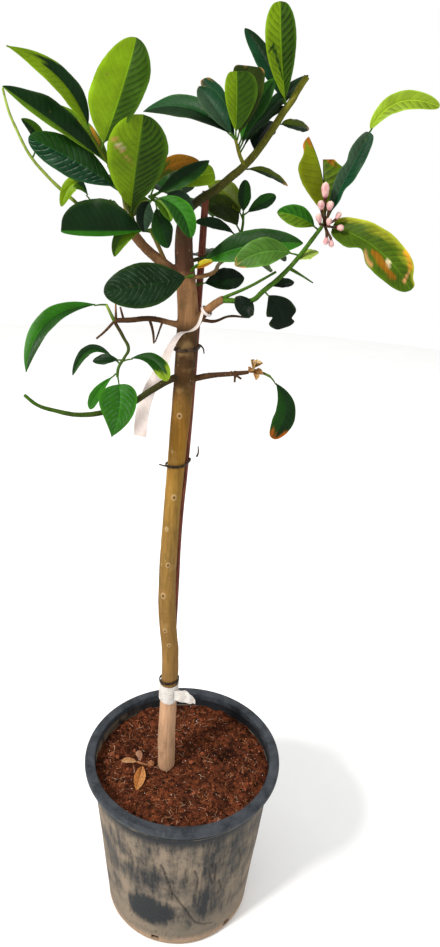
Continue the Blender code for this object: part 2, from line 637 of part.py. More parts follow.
def make_soil(peat):
    edge = inner_radius(SOIL_LEVEL) - CLEARANCE - 0.4
    foot = inner_radius(FLOOR + 6) - CLEARANCE - 0.3
    floor_edge = inner_radius(FLOOR) - 5 - CLEARANCE
    rings = 6
    profile = [(0, FLOOR + CLEARANCE), (floor_edge - 0.4, FLOOR + CLEARANCE), (foot - 0.3, FLOOR + 6.2)]
    profile += [(edge, SOIL_LEVEL - 8)]
    profile += [(edge * k / rings, SOIL_LEVEL) for k in range(rings, 0, -1)]
    profile += [(0, SOIL_LEVEL)]
    soil = lathe("soil", profile, POT_SEGMENTS)
    for vertex in soil.data.vertices:
        place = vertex.co / MM
        if place.z > SOIL_LEVEL - 1:
            vertex.co.z = soil_height(place.x, place.y) * MM
    hole_sides = 16
    clear = CLEARANCE + 0.1
    for route, snug in (
        ([(-22, 0, SOIL_LEVEL - TRUNK_DEPTH - clear), (-22, 0, 260)], TRUNK_RADII[1]),
        ([(-22, 18, SOIL_LEVEL - STAKE_DEPTH - clear), (-21.4, 17.4, 260)], STAKE_RADIUS),
    ):
        radius = (snug + clear) / math.cos(math.pi / hole_sides)
        cut(soil, tube("hole", route, (radius, radius), hole_sides))
    finish(soil, peat, 60.0)
    return soil


def make_trunk(bark, extra=0.0, name="trunk"):
    """The trunk with its woody branches, all grown in one; extra makes it thicker all over."""
    radii = [r + extra for r in TRUNK_RADII]
    trunk = tube(name, TRUNK_ROUTE, radii, 12)
    pieces = []
    for k, (route, ends) in enumerate(WOODY_BRANCHES):
        pieces.append(tube(f"{name}_branch{k}", route, (ends[0] + extra, ends[1] + extra), 8))
    for k, (route, ends) in enumerate(WOODY_STUBS):
        pieces.append(tube(f"{name}_stub{k}", route, (ends[0] + extra, ends[1] + extra), 5))
    fuse(trunk, pieces)
    finish(trunk, bark)
    return trunk


def centre_at(route, height):
    """Where a route passes this height."""
    for a, b in zip(route, route[1:]):
        if a[2] <= height <= b[2]:
            return Vector(a).lerp(Vector(b), (height - a[2]) / (b[2] - a[2]))
    return Vector(route[-1])


def trunk_radius(height):
    for (a, ra), (b, rb) in zip(zip(TRUNK_ROUTE, TRUNK_RADII), zip(TRUNK_ROUTE[1:], TRUNK_RADII[1:])):
        if a[2] <= height <= b[2]:
            return ra + (rb - ra) * (height - a[2]) / (b[2] - a[2])
    return TRUNK_RADII[-1]


def make_tie(name, height, rubber):
    """A band drawn tight round the trunk and the stake."""
    sides = 28
    gap = CLEARANCE + 0.5
    loops = []
    for level in (height - TIE_HEIGHT / 2, height + TIE_HEIGHT / 2):
        trunk_middle = centre_at(TRUNK_ROUTE, level)
        stake_middle = centre_at(STAKE_ROUTE, level)
        for extra in (gap, gap + TIE_THICKNESS):
            loop = []
            for k in range(sides):
                turn = math.tau * k / sides
                out = Vector((math.cos(turn), math.sin(turn), 0))
                trunk_reach = trunk_middle.dot(out) + trunk_radius(level)
                stake_reach = stake_middle.dot(out) + STAKE_RADIUS
                if trunk_reach >= stake_reach:
                    loop.append(trunk_middle + out * (trunk_radius(level) + extra))
                else:
                    loop.append(stake_middle + out * (STAKE_RADIUS + extra))
            loops.append(loop)
    return ring_solid(name, loops, rubber)


def ring_solid(name, loops, finish_material):
    """A closed ring from four loops: inner and outer at the foot, inner and outer at the top."""
    sides = len(loops[0])
    points = [p for loop in loops for p in loop]
    faces = []
    for k in range(sides):
        n = (k + 1) % sides
        inner, outer = 0, sides
        top_inner, top_outer = 2 * sides, 3 * sides
        faces.append((inner + k, inner + n, outer + n, outer + k))
        faces.append((outer + k, outer + n, top_outer + n, top_outer + k))
        faces.append((top_outer + k, top_outer + n, top_inner + n, top_inner + k))
        faces.append((top_inner + k, top_inner + n, inner + n, inner + k))
    made = object_from(name, points, faces)
    if finish_material:
        finish(made, finish_material)
    return made


def level_circle(middle, radius, sides):
    turns = [math.tau * k / sides for k in range(sides)]
    return [middle + Vector((math.cos(turn), math.sin(turn), 0)) * radius for turn in turns]


def make_tape(white):
    """Ribbed tape wound round the graft, with the flap of its free end."""
    sides = 20
    ribs = 7
    points = []
    for row in range(2 * ribs + 1):
        height = TAPE_FOOT + TAPE_HEIGHT * row / (2 * ribs)
        middle = centre_at(TRUNK_ROUTE, height)
        outer = trunk_radius(height) + CLEARANCE + 0.3 + TAPE_THICKNESS + (0.5 if row % 2 else 0.0)
        points.append(level_circle(middle, outer, sides))
    inner = []
    for row in (2 * ribs, ribs, 0):
        height = TAPE_FOOT + TAPE_HEIGHT * row / (2 * ribs)
        middle = centre_at(TRUNK_ROUTE, height)
        radius = (trunk_radius(height) + CLEARANCE) / math.cos(math.pi / sides)
        inner.append(level_circle(middle, radius, sides))
    loops = points + inner
    faces = []
    for row in range(len(loops)):
        below = row * sides
        above = ((row + 1) % len(loops)) * sides
        for k in range(sides):
            n = (k + 1) % sides
            faces.append((below + k, below + n, above + n, above + k))
    tape = object_from("graft_tape", [p for loop in loops for p in loop], faces)
    flap_rows = [
        (Vector((-14, -10.8, 356)), 6.0), (Vector((-4, -12, 357)), 8.5), (Vector((5, -13, 355)), 7.5),
        (Vector((12, -13, 351)), 3.0),
    ]
    flap = ribbon("flap", flap_rows, Vector((0, 0.15, 1)), 1.0)
    fuse(tape, [flap])
    finish(tape, white)
    return tape


def ribbon(name, rows, side, thickness):
    """A flat strap through rows of (middle, half width), its width along side."""
    side = side.normalized()
    points = []
    for i, (middle, half_width) in enumerate(rows):
        ahead = (rows[min(i + 1, len(rows) - 1)][0] - rows[max(i - 1, 0)][0]).normalized()
        across = (side - ahead * side.dot(ahead)).normalized()
        out = ahead.cross(across) * thickness / 2
        points.append([middle + across * half_width + out, middle - across * half_width + out,
                       middle - across * half_width - out, middle + across * half_width - out])
    return object_from(name, *rings_mesh(points))


def make_tag(white):
    """A blank strap label: a loop round the right fork, a thin neck and a long tail."""
    fork = WOODY_BRANCHES[2][0]
    middle = point_along(fork, 0.62)
    ahead = (Vector(fork[3]) - Vector(fork[1])).normalized()
    across = ahead.orthogonal().normalized()
    other = ahead.cross(across)
    loops = []
    for level in (-2.0, 2.0):
        for radius in (TAG_LOOP_RADIUS, TAG_LOOP_RADIUS + 1.2):
            loops.append([middle + ahead * level + (across * math.cos(math.tau * k / 14)
                                                    + other * math.sin(math.tau * k / 14)) * radius
                          for k in range(14)])
    ring = ring_solid("label_tag", loops, None)
    strap = [
        (middle + Vector((-1, -5.8, 2)), 1.6),
        (Vector((-2, -15.5, 833)), 1.8),
        (Vector((-8, -15.5, 827)), 2.0),
        (Vector((-20, -14.5, 822)), 2.6),
        (Vector((-28, -11.5, 810)), 3.6),
        (Vector((-35, -8, 793)), 4.6),
        (Vector((-40, -5, 781)), 5.6),
        (Vector((-49, -3, 762)), 7.0),
        (Vector((-55, -4, 745)), 7.6),
        (Vector((-59, -5, 725)), 7.8),
        (Vector((-60, -7, 707)), 7.8),
    ]
    fuse(ring, [ribbon("strap", strap, Vector((0.6, 0, 0.55)), TAG_THICKNESS)])
    finish(ring, white)
    return ring


def make_buds(pink, shoot):
    """Pale buds on short stalks at the end of the flowering shoot."""
    end = Vector(shoot["path"][-1])
    core = [end + Vector(p) for p in ((-0.5, -2.5, 0.5), (-1, -7, 3), (-2, -10, 9))]
    middle = tube("bud_cluster", core, (1.9, 1.3), 6)
    pieces = []
    for k, (foot, tip, radius) in enumerate(BUDS):
        foot = end + Vector(foot)
        tip = end + Vector(tip)
        pieces.append(tube(f"stalk{k}", [core[1], foot.lerp(tip, 0.15)], (1.1, 1.1), 4))
        shares = (0.0, 0.3, 0.75, 1.0)
        sizes = (0.5, 1.0, 0.85, 0.3)
        pieces.append(tube(f"bud{k}", [foot.lerp(tip, s) for s in shares], [radius * s for s in sizes], 6))
    fuse(middle, pieces)
    cut(middle, shoot_body("flower_clearance", shoot, CLEARANCE + 0.1))
    finish(middle, pink)
    return middle


def make_dried(tan, wood_clearance):
    """A dead flower cluster: short stalks with curled scraps."""
    foot = Vector((53, 18, 777))
    route = [foot + Vector((1, 0, 1)), foot + Vector((5, -2, 2)), foot + Vector((10, -3, 1))]
    core = tube("dried_flowers", route, (2.4, 1.8), 6)
    scraps = [
        leaf(0.3, (-3, -6, 13), 7, (0.8, -0.5, 0.2), bow=2, fold=30),
        leaf(0.5, (4, -7, 14), 8, (-0.6, -0.6, 0.3), bow=3, fold=30),
        leaf(0.7, (11, -2, 9), 8, (-0.2, -0.8, 0.6), bow=2, fold=30),
        leaf(0.9, (11, -5, -3), 8, (0.1, -0.8, 0.6), bow=2, fold=30),
        leaf(0.6, (4, -9, -8), 9, (0.6, -0.7, -0.2), bow=3, fold=30),
        leaf(0.5, (-2, -11, 2), 8, (0.3, -0.3, 0.9), bow=2, fold=30),
    ]
    pieces = []
    for k, spec in enumerate(scraps):
        start = point_along(route, spec["along"])
        pieces.append(leaf_piece(f"scrap{k}", start, spec))
    fuse(core, pieces)
    cut(core, wood_clearance, keep_cutter=True)
    cut(core, shoot_body("leaf_clearance", SHOOTS["leaf_low_right"], CLEARANCE + 0.1))
    finish(core, tan)
    return core


def make_litter(tan, wood_clearance):
    """Dead leaf pieces lying on the soil."""
    x, y = LITTER_PLACE
    base = SOIL_LEVEL + 2.5
    core = tube("dry_litter", [(x - 6, y + 3, base), (x + 8, y - 2, base)], (1.7, 1.7), 6)
    arms = [
        leaf(0.2, (-24, 2, 1), 8, (0, 0, 1), bow=1.5, fold=14),
        leaf(0.4, (-6, 20, 2), 9, (0, 0, 1), bow=2, fold=14),
        leaf(0.6, (-5, -46, 1), 15, (0, -0.2, 1), bow=3, fold=16),
        leaf(0.9, (11, 2, 1), 8, (0, 0, 1), bow=1, fold=14),
    ]
    pieces = []
    for k, spec in enumerate(arms):
        start = point_along([(x - 6, y + 3, base), (x + 8, y - 2, base)], spec["along"])
        pieces.append(leaf_piece(f"arm{k}", start, spec))
    fuse(core, pieces)
    cut(core, wood_clearance, keep_cutter=True)
    finish(core, tan)
    return core


def main():
    clear_scene()
    plastic = material("pot_plastic", (0.055, 0.060, 0.066), 0.55)
    peat = material("soil_peat", (0.10, 0.042, 0.026), 0.95)
    bark = material("bark", (0.33, 0.22, 0.10), 0.75)
    cane = material("stake_wood", (0.20, 0.10, 0.055), 0.7)
    rubber = material("tie_rubber", (0.03, 0.028, 0.025), 0.6)
    tape = material("tape_white", (0.75, 0.72, 0.68), 0.6)
    label = material("label_white", (0.82, 0.78, 0.74), 0.5)
    green = material("leaf_green", (0.045, 0.13, 0.025), 0.4)
    pink = material("bud_pink", (0.62, 0.40, 0.42), 0.5)
    dead = material("dead_leaf", (0.42, 0.25, 0.12), 0.85)

    make_pot(plastic)
    make_soil(peat)
    make_trunk(bark)
    wood_clearance = make_trunk(bark, CLEARANCE + 0.1, "wood_clearance")
    wood_clearance.hide_render = True
    wood_clearance.display_type = "WIRE"
    stake = tube("stake", STAKE_ROUTE, [STAKE_RADIUS] * len(STAKE_ROUTE), 8)
    finish(stake, cane)
    for name, height in (("tie_top", 803.0), ("tie_middle", 672.0), ("tie_low", 373.0)):
        make_tie(name, height, rubber)
    make_tape(tape)
    make_tag(label)
    for name, spec in SHOOTS.items():
        make_shoot(name, spec, green, wood_clearance)
    make_buds(pink, SHOOTS["shoot_flower"])
    make_dried(dead, wood_clearance)
    make_litter(dead, wood_clearance)
    bpy.data.objects.remove(wood_clearance, do_unlink=True)


main()
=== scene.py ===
import math
import random

import bpy
import numpy as np
from mathutils import Matrix, Vector
from mathutils.noise import noise as roughNoise


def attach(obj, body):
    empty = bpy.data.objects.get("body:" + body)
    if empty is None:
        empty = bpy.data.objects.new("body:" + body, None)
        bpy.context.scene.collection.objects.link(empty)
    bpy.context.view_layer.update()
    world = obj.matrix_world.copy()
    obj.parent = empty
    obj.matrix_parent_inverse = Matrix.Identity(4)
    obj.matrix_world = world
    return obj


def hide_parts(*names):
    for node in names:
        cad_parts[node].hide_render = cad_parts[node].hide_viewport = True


# A potted citron tree: a young stem with its stake and ties, a leafy crown with pink blossom
# buds, and a dusty black nursery pot of peat. Lengths in the dictionaries are in millimetres.

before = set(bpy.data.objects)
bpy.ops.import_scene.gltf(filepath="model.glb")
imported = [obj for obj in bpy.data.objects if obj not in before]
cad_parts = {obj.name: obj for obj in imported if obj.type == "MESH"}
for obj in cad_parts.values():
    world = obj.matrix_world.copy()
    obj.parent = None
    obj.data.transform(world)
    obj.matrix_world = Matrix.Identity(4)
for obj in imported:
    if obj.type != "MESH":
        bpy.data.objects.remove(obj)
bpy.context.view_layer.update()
scene = bpy.context.scene
mm = 0.001
dice = random.Random(7)
brightness = 0.60   # tones are written as seen, and the lamps together are stronger than 1
print("frame loaded")


camera = {
    "place": (0.0, -0.756, 1.0104),
    "turn": 2.16,     # degrees to the right of straight ahead
    "down": 24.64,
    "roll": 3.25,
    "lens": 28.44,
}

lamps = {
    # name: place, looks at, size, watts, colour
    "keyLamp": ((-1.7, -1.5, 2.5), (0.0, 0.0, 0.75), 0.55, 112.0, (1.0, 0.975, 0.93)),
    "fillLamp": ((1.9, -1.6, 1.4), (0.0, 0.0, 0.6), 1.6, 6.0, (0.94, 0.97, 1.0)),
    "backLamp": ((0.7, 2.2, 2.2), (0.0, 0.0, 0.8), 1.4, 8.0, (1.0, 1.0, 1.0)),
}
skyStrength = 1.0


def pointAt(place, target):
    away = (Vector(place) - Vector(target)).normalized()
    return away.to_track_quat("Z", "Y").to_matrix().to_4x4()


def setCamera(spec):
    turn, down, roll = (math.radians(spec[name]) for name in ("turn", "down", "roll"))
    ahead = Vector((math.sin(turn) * math.cos(down), math.cos(turn) * math.cos(down), -math.sin(down)))
    level = Vector((math.cos(turn), -math.sin(turn), 0.0))
    upward = level.cross(ahead)
    right = level * math.cos(roll) + upward * math.sin(roll)
    top = upward * math.cos(roll) - level * math.sin(roll)
    data = bpy.data.cameras.new("photoCamera")
    data.lens = spec["lens"]
    data.sensor_width = 36.0
    data.clip_start = 0.02
    made = bpy.data.objects.new("photoCamera", data)
    made.matrix_world = Matrix.Translation(spec["place"]) @ Matrix((right, top, -ahead)).transposed().to_4x4()
    scene.collection.objects.link(made)
    scene.camera = made


def addLamp(name, place, target, size, watts, colour):
    data = bpy.data.lights.new(name, "AREA")
    data.shape = "DISK"
    data.size = size
    data.energy = watts
    data.color = colour
    made = bpy.data.objects.new(name, data)
    made.matrix_world = Matrix.Translation(place) @ pointAt(place, target)
    scene.collection.objects.link(made)


setCamera(camera)
for lampName, settings in lamps.items():
    addLamp(lampName, *settings)
sky = bpy.data.worlds.new("studioSky")
sky.use_nodes = True
sky.node_tree.nodes["Background"].inputs["Color"].default_value = (1.0, 1.0, 1.0, 1.0)
sky.node_tree.nodes["Background"].inputs["Strength"].default_value = skyStrength
scene.world = sky
scene.view_settings.view_transform = "Standard"
print("camera and lamps set")


def linear(tone):
    # an sRGB tone of three whole numbers, as the shader wants it
    shares = [value / 255 for value in tone]
    return tuple(v / 12.92 if v <= 0.04045 else ((v + 0.055) / 1.055) ** 2.4 for v in shares)


def flat(tone):
    return tuple(v * brightness for v in linear(tone)) + (1.0,)


class Wire:
    # one shader socket: sums on it add Math nodes, and node() adds any other node

    def __init__(self, tree, socket=None):
        self.tree = tree
        self.socket = socket

    def node(self, kind, settings=None, inputs=None, out=0):
        made = self.tree.nodes.new(kind)
        for name, value in (settings or {}).items():
            if name == "stops":
                ramp = made.color_ramp
                while len(ramp.elements) < len(value):
                    ramp.elements.new(0.5)
                for stop, (place, colour) in zip(ramp.elements, value):
                    stop.position = place
                    stop.color = colour
            else:
                setattr(made, name, value)
        for place, value in (inputs or {}).items():
            if isinstance(value, Wire):
                self.tree.links.new(value.socket, made.inputs[place])
            else:
                made.inputs[place].default_value = value
        return Wire(self.tree, made.outputs[out])

    def maths(self, operation, *values):
        return self.node("ShaderNodeMath", {"operation": operation}, dict(enumerate(values)))

    def fraction(self):
        return self.maths("FRACT", self)

    def __add__(self, other):
        return self.maths("ADD", self, other)

    def __radd__(self, other):
        return self.maths("ADD", other, self)

    def __sub__(self, other):
        return self.maths("SUBTRACT", self, other)

    def __rsub__(self, other):
        return self.maths("SUBTRACT", other, self)

    def __mul__(self, other):
        return self.maths("MULTIPLY", self, other)

    def __rmul__(self, other):
        return self.maths("MULTIPLY", other, self)

    def __truediv__(self, other):
        return self.maths("DIVIDE", self, other)

    def __pow__(self, other):
        return self.maths("POWER", self, other)

    def __abs__(self):
        return self.maths("ABSOLUTE", self)

    def rise(self, low, high, bottom=0.0, top=1.0):
        # runs smoothly from bottom to top as the value goes from low to high
        return self.node("ShaderNodeMapRange", {"interpolation_type": "SMOOTHSTEP"},
                         {0: self, 1: low, 2: high, 3: bottom, 4: top})

    def grain(self, size, detail=3.0, rough=0.55, stretch=None, shift=0.0, out="Fac"):
        # noise with lumps about this many millimetres across; self is a place
        place = self
        if stretch or shift:
            place = self.node("ShaderNodeMapping", None,
                              {0: self, 1: (shift, shift * 0.7, shift * 1.3), 3: stretch or (1.0, 1.0, 1.0)})
        return self.node("ShaderNodeTexNoise", None,
                         {"Vector": place, "Scale": 1000 / size, "Detail": detail, "Roughness": rough}, out)

    def cells(self, size, feature="F1", spread=1.0, stretch=None, out="Distance"):
        place = self
        if stretch:
            place = self.node("ShaderNodeMapping", None, {0: self, 3: stretch})
        return self.node("ShaderNodeTexVoronoi", {"feature": feature},
                         {"Vector": place, "Scale": 1000 / size, "Randomness": spread}, out)

    def blend(self, first, second, mode="MIX"):
        # self is the share of the second colour
        return self.node("ShaderNodeMix", {"data_type": "RGBA", "blend_type": mode},
                         {0: self, 6: first, 7: second}, 2)

    def brighter(self, share):
        # the colour times a number
        return self.node("ShaderNodeVectorMath", {"operation": "SCALE"}, {0: self, 3: share})

    def bump(self, depth, strength=1.0, under=None):
        # depth in millimetres for a height of 1
        inputs = {"Height": self, "Distance": depth * mm, "Strength": strength}
        if under:
            inputs["Normal"] = under
        return self.node("ShaderNodeBump", None, inputs)


def makeMaterial(name, paint, **fixed):
    # fixed values go on the shader's sockets, and paint(start) returns what varies
    made = bpy.data.materials.new(name)
    made.use_nodes = True
    shader = made.node_tree.nodes["Principled BSDF"]
    for socketName, value in fixed.items():
        shader.inputs[socketName.replace("_", " ")].default_value = value
    start = Wire(made.node_tree)
    for socketName, wire in paint(start).items():
        made.node_tree.links.new(wire.socket, shader.inputs[socketName])
    return made


def placeOf(start):
    return start.node("ShaderNodeTexCoord", None, None, "Object")


def axesOf(place):
    return [place.node("ShaderNodeSeparateXYZ", None, {0: place}, axis) for axis in range(3)]


def attribute(start, name, out="Color"):
    return start.node("ShaderNodeAttribute", {"attribute_name": name}, None, out)


def paintFloor(start):
    place = placeOf(start)
    patches = place.grain(180, 4)
    colour = patches.rise(0.3, 0.7).blend((0.84, 0.84, 0.835, 1.0), (0.86, 0.86, 0.856, 1.0))
    return {"Base Color": colour, "Roughness": patches.rise(0.2, 0.8, 0.82, 0.9),
            "Normal": place.grain(2.5, 2).bump(0.1)}


floorMaterial = makeMaterial("paleFloor", paintFloor, Specular_IOR_Level=0.1)


def deselectAll():
    bpy.ops.object.select_all(action="DESELECT")


def choose(*chosen):
    deselectAll()
    for made in chosen:
        made.select_set(True)
    bpy.context.view_layer.objects.active = chosen[0]


def applyModifier(made, kind, **settings):
    choose(made)
    modifier = made.modifiers.new(kind.lower(), kind)
    for name, value in settings.items():
        setattr(modifier, name, value)
    bpy.ops.object.modifier_apply(modifier=modifier.name)


def settle(made, name=None):
    # puts the place, turn and scale into the mesh
    choose(made)
    bpy.ops.object.transform_apply(location=True, rotation=True, scale=True)
    if name:
        made.name = name
        made.data.name = name
    return made


def joined(pieces, name):
    choose(*pieces)
    if len(pieces) > 1:
        bpy.ops.object.join()
    made = bpy.context.view_layer.objects.active
    return settle(made, name)


def pointsOf(made):
    points = np.empty(len(made.data.vertices) * 3)
    made.data.vertices.foreach_get("co", points)
    return points.reshape(-1, 3)


def movePoints(made, points):
    made.data.vertices.foreach_set("co", np.asarray(points, float).ravel())
    made.data.update()


def normalsOf(made):
    normals = np.empty(len(made.data.vertices) * 3)
    made.data.vertex_normals.foreach_get("vector", normals)
    return normals.reshape(-1, 3)


def smooth(made, angle=40.0):
    choose(made)
    bpy.ops.object.shade_smooth_by_angle(angle=math.radians(angle))


def writeColours(made, name, colours):
    layer = made.data.attributes.new(name, "FLOAT_COLOR", "POINT")
    layer.data.foreach_set("color", np.asarray(colours, float).ravel())


def writeVectors(made, name, vectors):
    layer = made.data.attributes.new(name, "FLOAT_VECTOR", "POINT")
    layer.data.foreach_set("vector", np.asarray(vectors, float).ravel())


def copied(master, name="copy"):
    made = master.copy()
    made.data = master.data.copy()
    made.name = name
    scene.collection.objects.link(made)
    return made


def roughness(points, size, seed=0.0):
    # smooth noise from -1 to 1 at each point, with lumps about this many millimetres across
    shift = Vector((seed * 3.1, seed * 1.7, seed * 2.3))
    return np.array([roughNoise(Vector(p) * (1000 / size) + shift) for p in points])


def dressed(made, node=None):
    # rides on the tree's one body, and stands for a CAD node if one is named
    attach(made, "root")
    if node:
        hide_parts(node)
    return made


deselectAll()
bpy.ops.mesh.primitive_circle_add(vertices=96, radius=3.4, fill_type="NGON", location=(0, 0, -0.0004))
floor = bpy.context.object
bpy.ops.object.mode_set(mode="EDIT")
bpy.ops.mesh.inset(thickness=1.6)
bpy.ops.mesh.inset(thickness=1.0)
bpy.ops.object.mode_set(mode="OBJECT")
floor.data.materials.append(floorMaterial)
settle(floor, "floor")
print("floor laid")


# the two tones of a leaf's halves are often a lit and a shaded one, painted light and shade: pale yellow-greens such
# as lime stand for sunlit or lit-through faces, the darkest greens such as night for faces in shade
tones = {
    "lime": (118, 152, 14),
    "spring": (92, 128, 20),
    "springLight": (132, 160, 36),
    "paleLime": (162, 188, 80),
    "moss": (52, 84, 8),
    "mossLight": (70, 98, 12),
    "mossGold": (86, 112, 8),
    "mustard": (112, 124, 6),
    "chartreuse": (150, 156, 36),
    "yellow": (186, 172, 40),
    "grass": (44, 106, 18),
    "forest": (26, 68, 14),
    "bottle": (18, 62, 34),
    "spruce": (30, 74, 34),
    "slate": (46, 70, 48),
    "pine": (16, 44, 14),
    "night": (10, 26, 12),
    "olive": (82, 98, 12),
    "darkOlive": (42, 56, 10),
    "sage": (74, 116, 40),
    "tan": (192, 142, 84),
    "cream": (216, 200, 160),
    "amber": (206, 150, 40),
    "rust": (172, 92, 24),
    "ochre": (148, 98, 14),
    "barkTan": (150, 106, 70),
    "barkDark": (62, 44, 28),
    "darkStem": (46, 44, 22),
    "oliveStem": (122, 122, 30),
    "greenStem": (66, 104, 22),
}

leafFinish = {
    "veinSpacing": 6.4,   # side veins along the midrib
    "veinSlope": 0.95,    # how far the side veins run forward, in half widths
    "quilt": 0.20,        # height of the swelling between side veins
    "groove": 0.45,       # depth of the midrib on top
    "thickness": 0.42,
}


def paintLeaf(start):
    place = placeOf(start)
    tone = attribute(start, "tone")
    across, veins, under = axesOf(attribute(start, "span", "Vector"))
    ribs, quilt, sheen = axesOf(attribute(start, "veining", "Vector"))
    side = abs(across)
    wander = place.grain(5, 2)
    row = veins + (wander - 0.5) * 0.24
    comb = abs(row.fraction() - 0.5) * 2.0
    fine = abs((row * 4.0 + place.grain(3, 2) * 0.8).fraction() - 0.5) * 2.0
    slope = (row + 0.5).fraction()
    fade = side.rise(0.98, 0.7)
    veinLine = comb.rise(0.88, 1.0) * fade
    midrib = side.rise(0.045, 0.012)
    net = place.cells(1.7, "DISTANCE_TO_EDGE").rise(0.10, 0.0)
    blotch = place.grain(16, 3)
    broad = place.grain(38, 2, shift=3.0)
    speck = place.grain(1.3, 2)
    glands = place.cells(1.1).rise(0.22, 0.08)

    # soft blotches, then painted shade on the dark side of each swelling between two veins
    shade = blotch.rise(0.25, 0.75, 0.86, 1.14) * speck.rise(0.2, 0.8, 0.94, 1.06)
    shade = shade * broad.rise(0.3, 0.7, 0.84, 1.14)
    hollow = slope.rise(0.05, 0.72) * slope.rise(1.0, 0.86) * fade * side.rise(0.02, 0.14)
    shade = shade * (1.0 - hollow * quilt * wander.rise(0.3, 0.6, 0.30, 0.52))
    shade = shade * (1.0 + (veinLine * 0.42 + fine.rise(0.8, 1.0) * fade * 0.07 + net * 0.08) * ribs)
    # painted highlight on the lit crest of each swelling, and lighter oil glands
    shade = shade * (1.0 + slope.rise(0.78, 0.98) * quilt * fade * 0.22 + glands * 0.10)
    colour = tone.brighter(shade)
    colour = (broad.rise(0.5, 0.75) * 0.14).blend(colour, colour.brighter(1.3))
    colour = (midrib * 0.5).blend(colour, colour.brighter(1.9))
    # painted sheen: a pale gloss along the veins and in patches
    glossy = comb.rise(0.62, 1.0) * wander.rise(0.35, 0.6) + blotch.rise(0.45, 0.8) * 0.35
    colour = (glossy * sheen * fade).blend(colour, flat((126, 152, 128)))
    spots = place.cells(9.0).rise(0.16, 0.06) * place.grain(24, 2, shift=8.0).rise(0.55, 0.68)
    colour = (spots * 0.5).blend(colour, flat((120, 96, 46)))
    colour = (under * 0.45).blend(colour, colour.brighter(1.25))
    rough = (under * 0.24 + blotch.rise(0.2, 0.8, 0.30, 0.44)) + speck.rise(0.3, 0.7, 0.0, 0.05)
    height = comb.rise(1.0, 0.1) * fade * 0.35 + net * -0.12 + fine.rise(0.7, 1.0) * -0.10 * fade
    height = height + speck * 0.10
    return {"Base Color": colour, "Roughness": rough, "Normal": height.bump(0.3, 0.8)}


def paintStem(start):
    place = placeOf(start)
    tone = attribute(start, "tone")
    streaks = place.grain(2.2, 3, stretch=(1.0, 1.0, 0.25))
    blotch = place.grain(9, 3)
    shade = streaks.rise(0.25, 0.75, 0.78, 1.2) * blotch.rise(0.3, 0.7, 0.86, 1.12)
    warts = place.cells(2.6).rise(0.30, 0.12) * place.grain(6, 2, shift=4.0).rise(0.5, 0.62)
    colour = (warts * 0.45).blend(tone.brighter(shade), flat((176, 156, 110)))
    colour = (place.grain(14, 3, shift=6.0).rise(0.56, 0.72) * 0.4).blend(colour, flat((92, 76, 44)))
    return {"Base Color": colour, "Roughness": blotch.rise(0.2, 0.8, 0.5, 0.7),
            "Normal": (streaks + warts * 0.5).bump(0.3)}


leafMaterial = makeMaterial("citronLeaf", paintLeaf, Specular_IOR_Level=0.07)
stemMaterial = makeMaterial("greenShoot", paintStem, Specular_IOR_Level=0.08)


def makeLeafBlank():
    # a thin flat sheet: x from -1 to 1 over both halves, y from 0 to 1 along the blade
    deselectAll()
    bpy.ops.mesh.primitive_grid_add(x_subdivisions=16, y_subdivisions=46, size=2.0)
    blank = bpy.context.object
    bpy.ops.object.mode_set(mode="EDIT")
    bpy.ops.transform.resize(value=(1.0, 0.5, 1.0))
    bpy.ops.transform.translate(value=(0.0, 0.5, 0.0))
    bpy.ops.object.mode_set(mode="OBJECT")
    settle(blank, "leafBlank")
    applyModifier(blank, "SOLIDIFY", thickness=0.1, offset=-1.0)
    blank.data.materials.append(leafMaterial)
    return blank


def leaf(along, reach, width, face, looks, bow=5, sweep=0, fold=12, widest=0.52, base=0.9, tip=0.6,
         lean=0.0, slant=0.0, ribs=0.7, quilt=(0.3, 0.3), sheen=(0.0, 0.0), far=None, farFrom=1.0,
         near=None, nearTo=0.0, rim=None, bites=(), marks=()):
    # along: place on the stem; reach: stalk foot to tip; face: the way its upper side looks.
    # Pairs are for its two halves: looks the tones, often a lit and a shaded one, painted light and shade;
    # quilt the swellings between veins and the painted shade in their hollows; sheen a painted pale gloss.
    # far and near are other tones at its ends, and rim one on the first half's edge.
    # bites (half, place along, size, depth) are missing bits of margin, and marks (from, to, width
    # in mm, tone) are scars, with places as shares across and along.
    return dict(along=along, reach=reach, width=width, face=face, looks=looks, bow=bow, sweep=sweep,
                fold=fold, widest=widest, base=base, tip=tip, lean=lean, slant=slant, ribs=ribs,
                quilt=quilt, sheen=sheen, far=far, farFrom=farFrom, near=near, nearTo=nearTo, rim=rim,
                bites=bites, marks=marks)


def unit(vectors):
    return vectors / np.maximum(np.linalg.norm(vectors, axis=-1, keepdims=True), 1e-12)


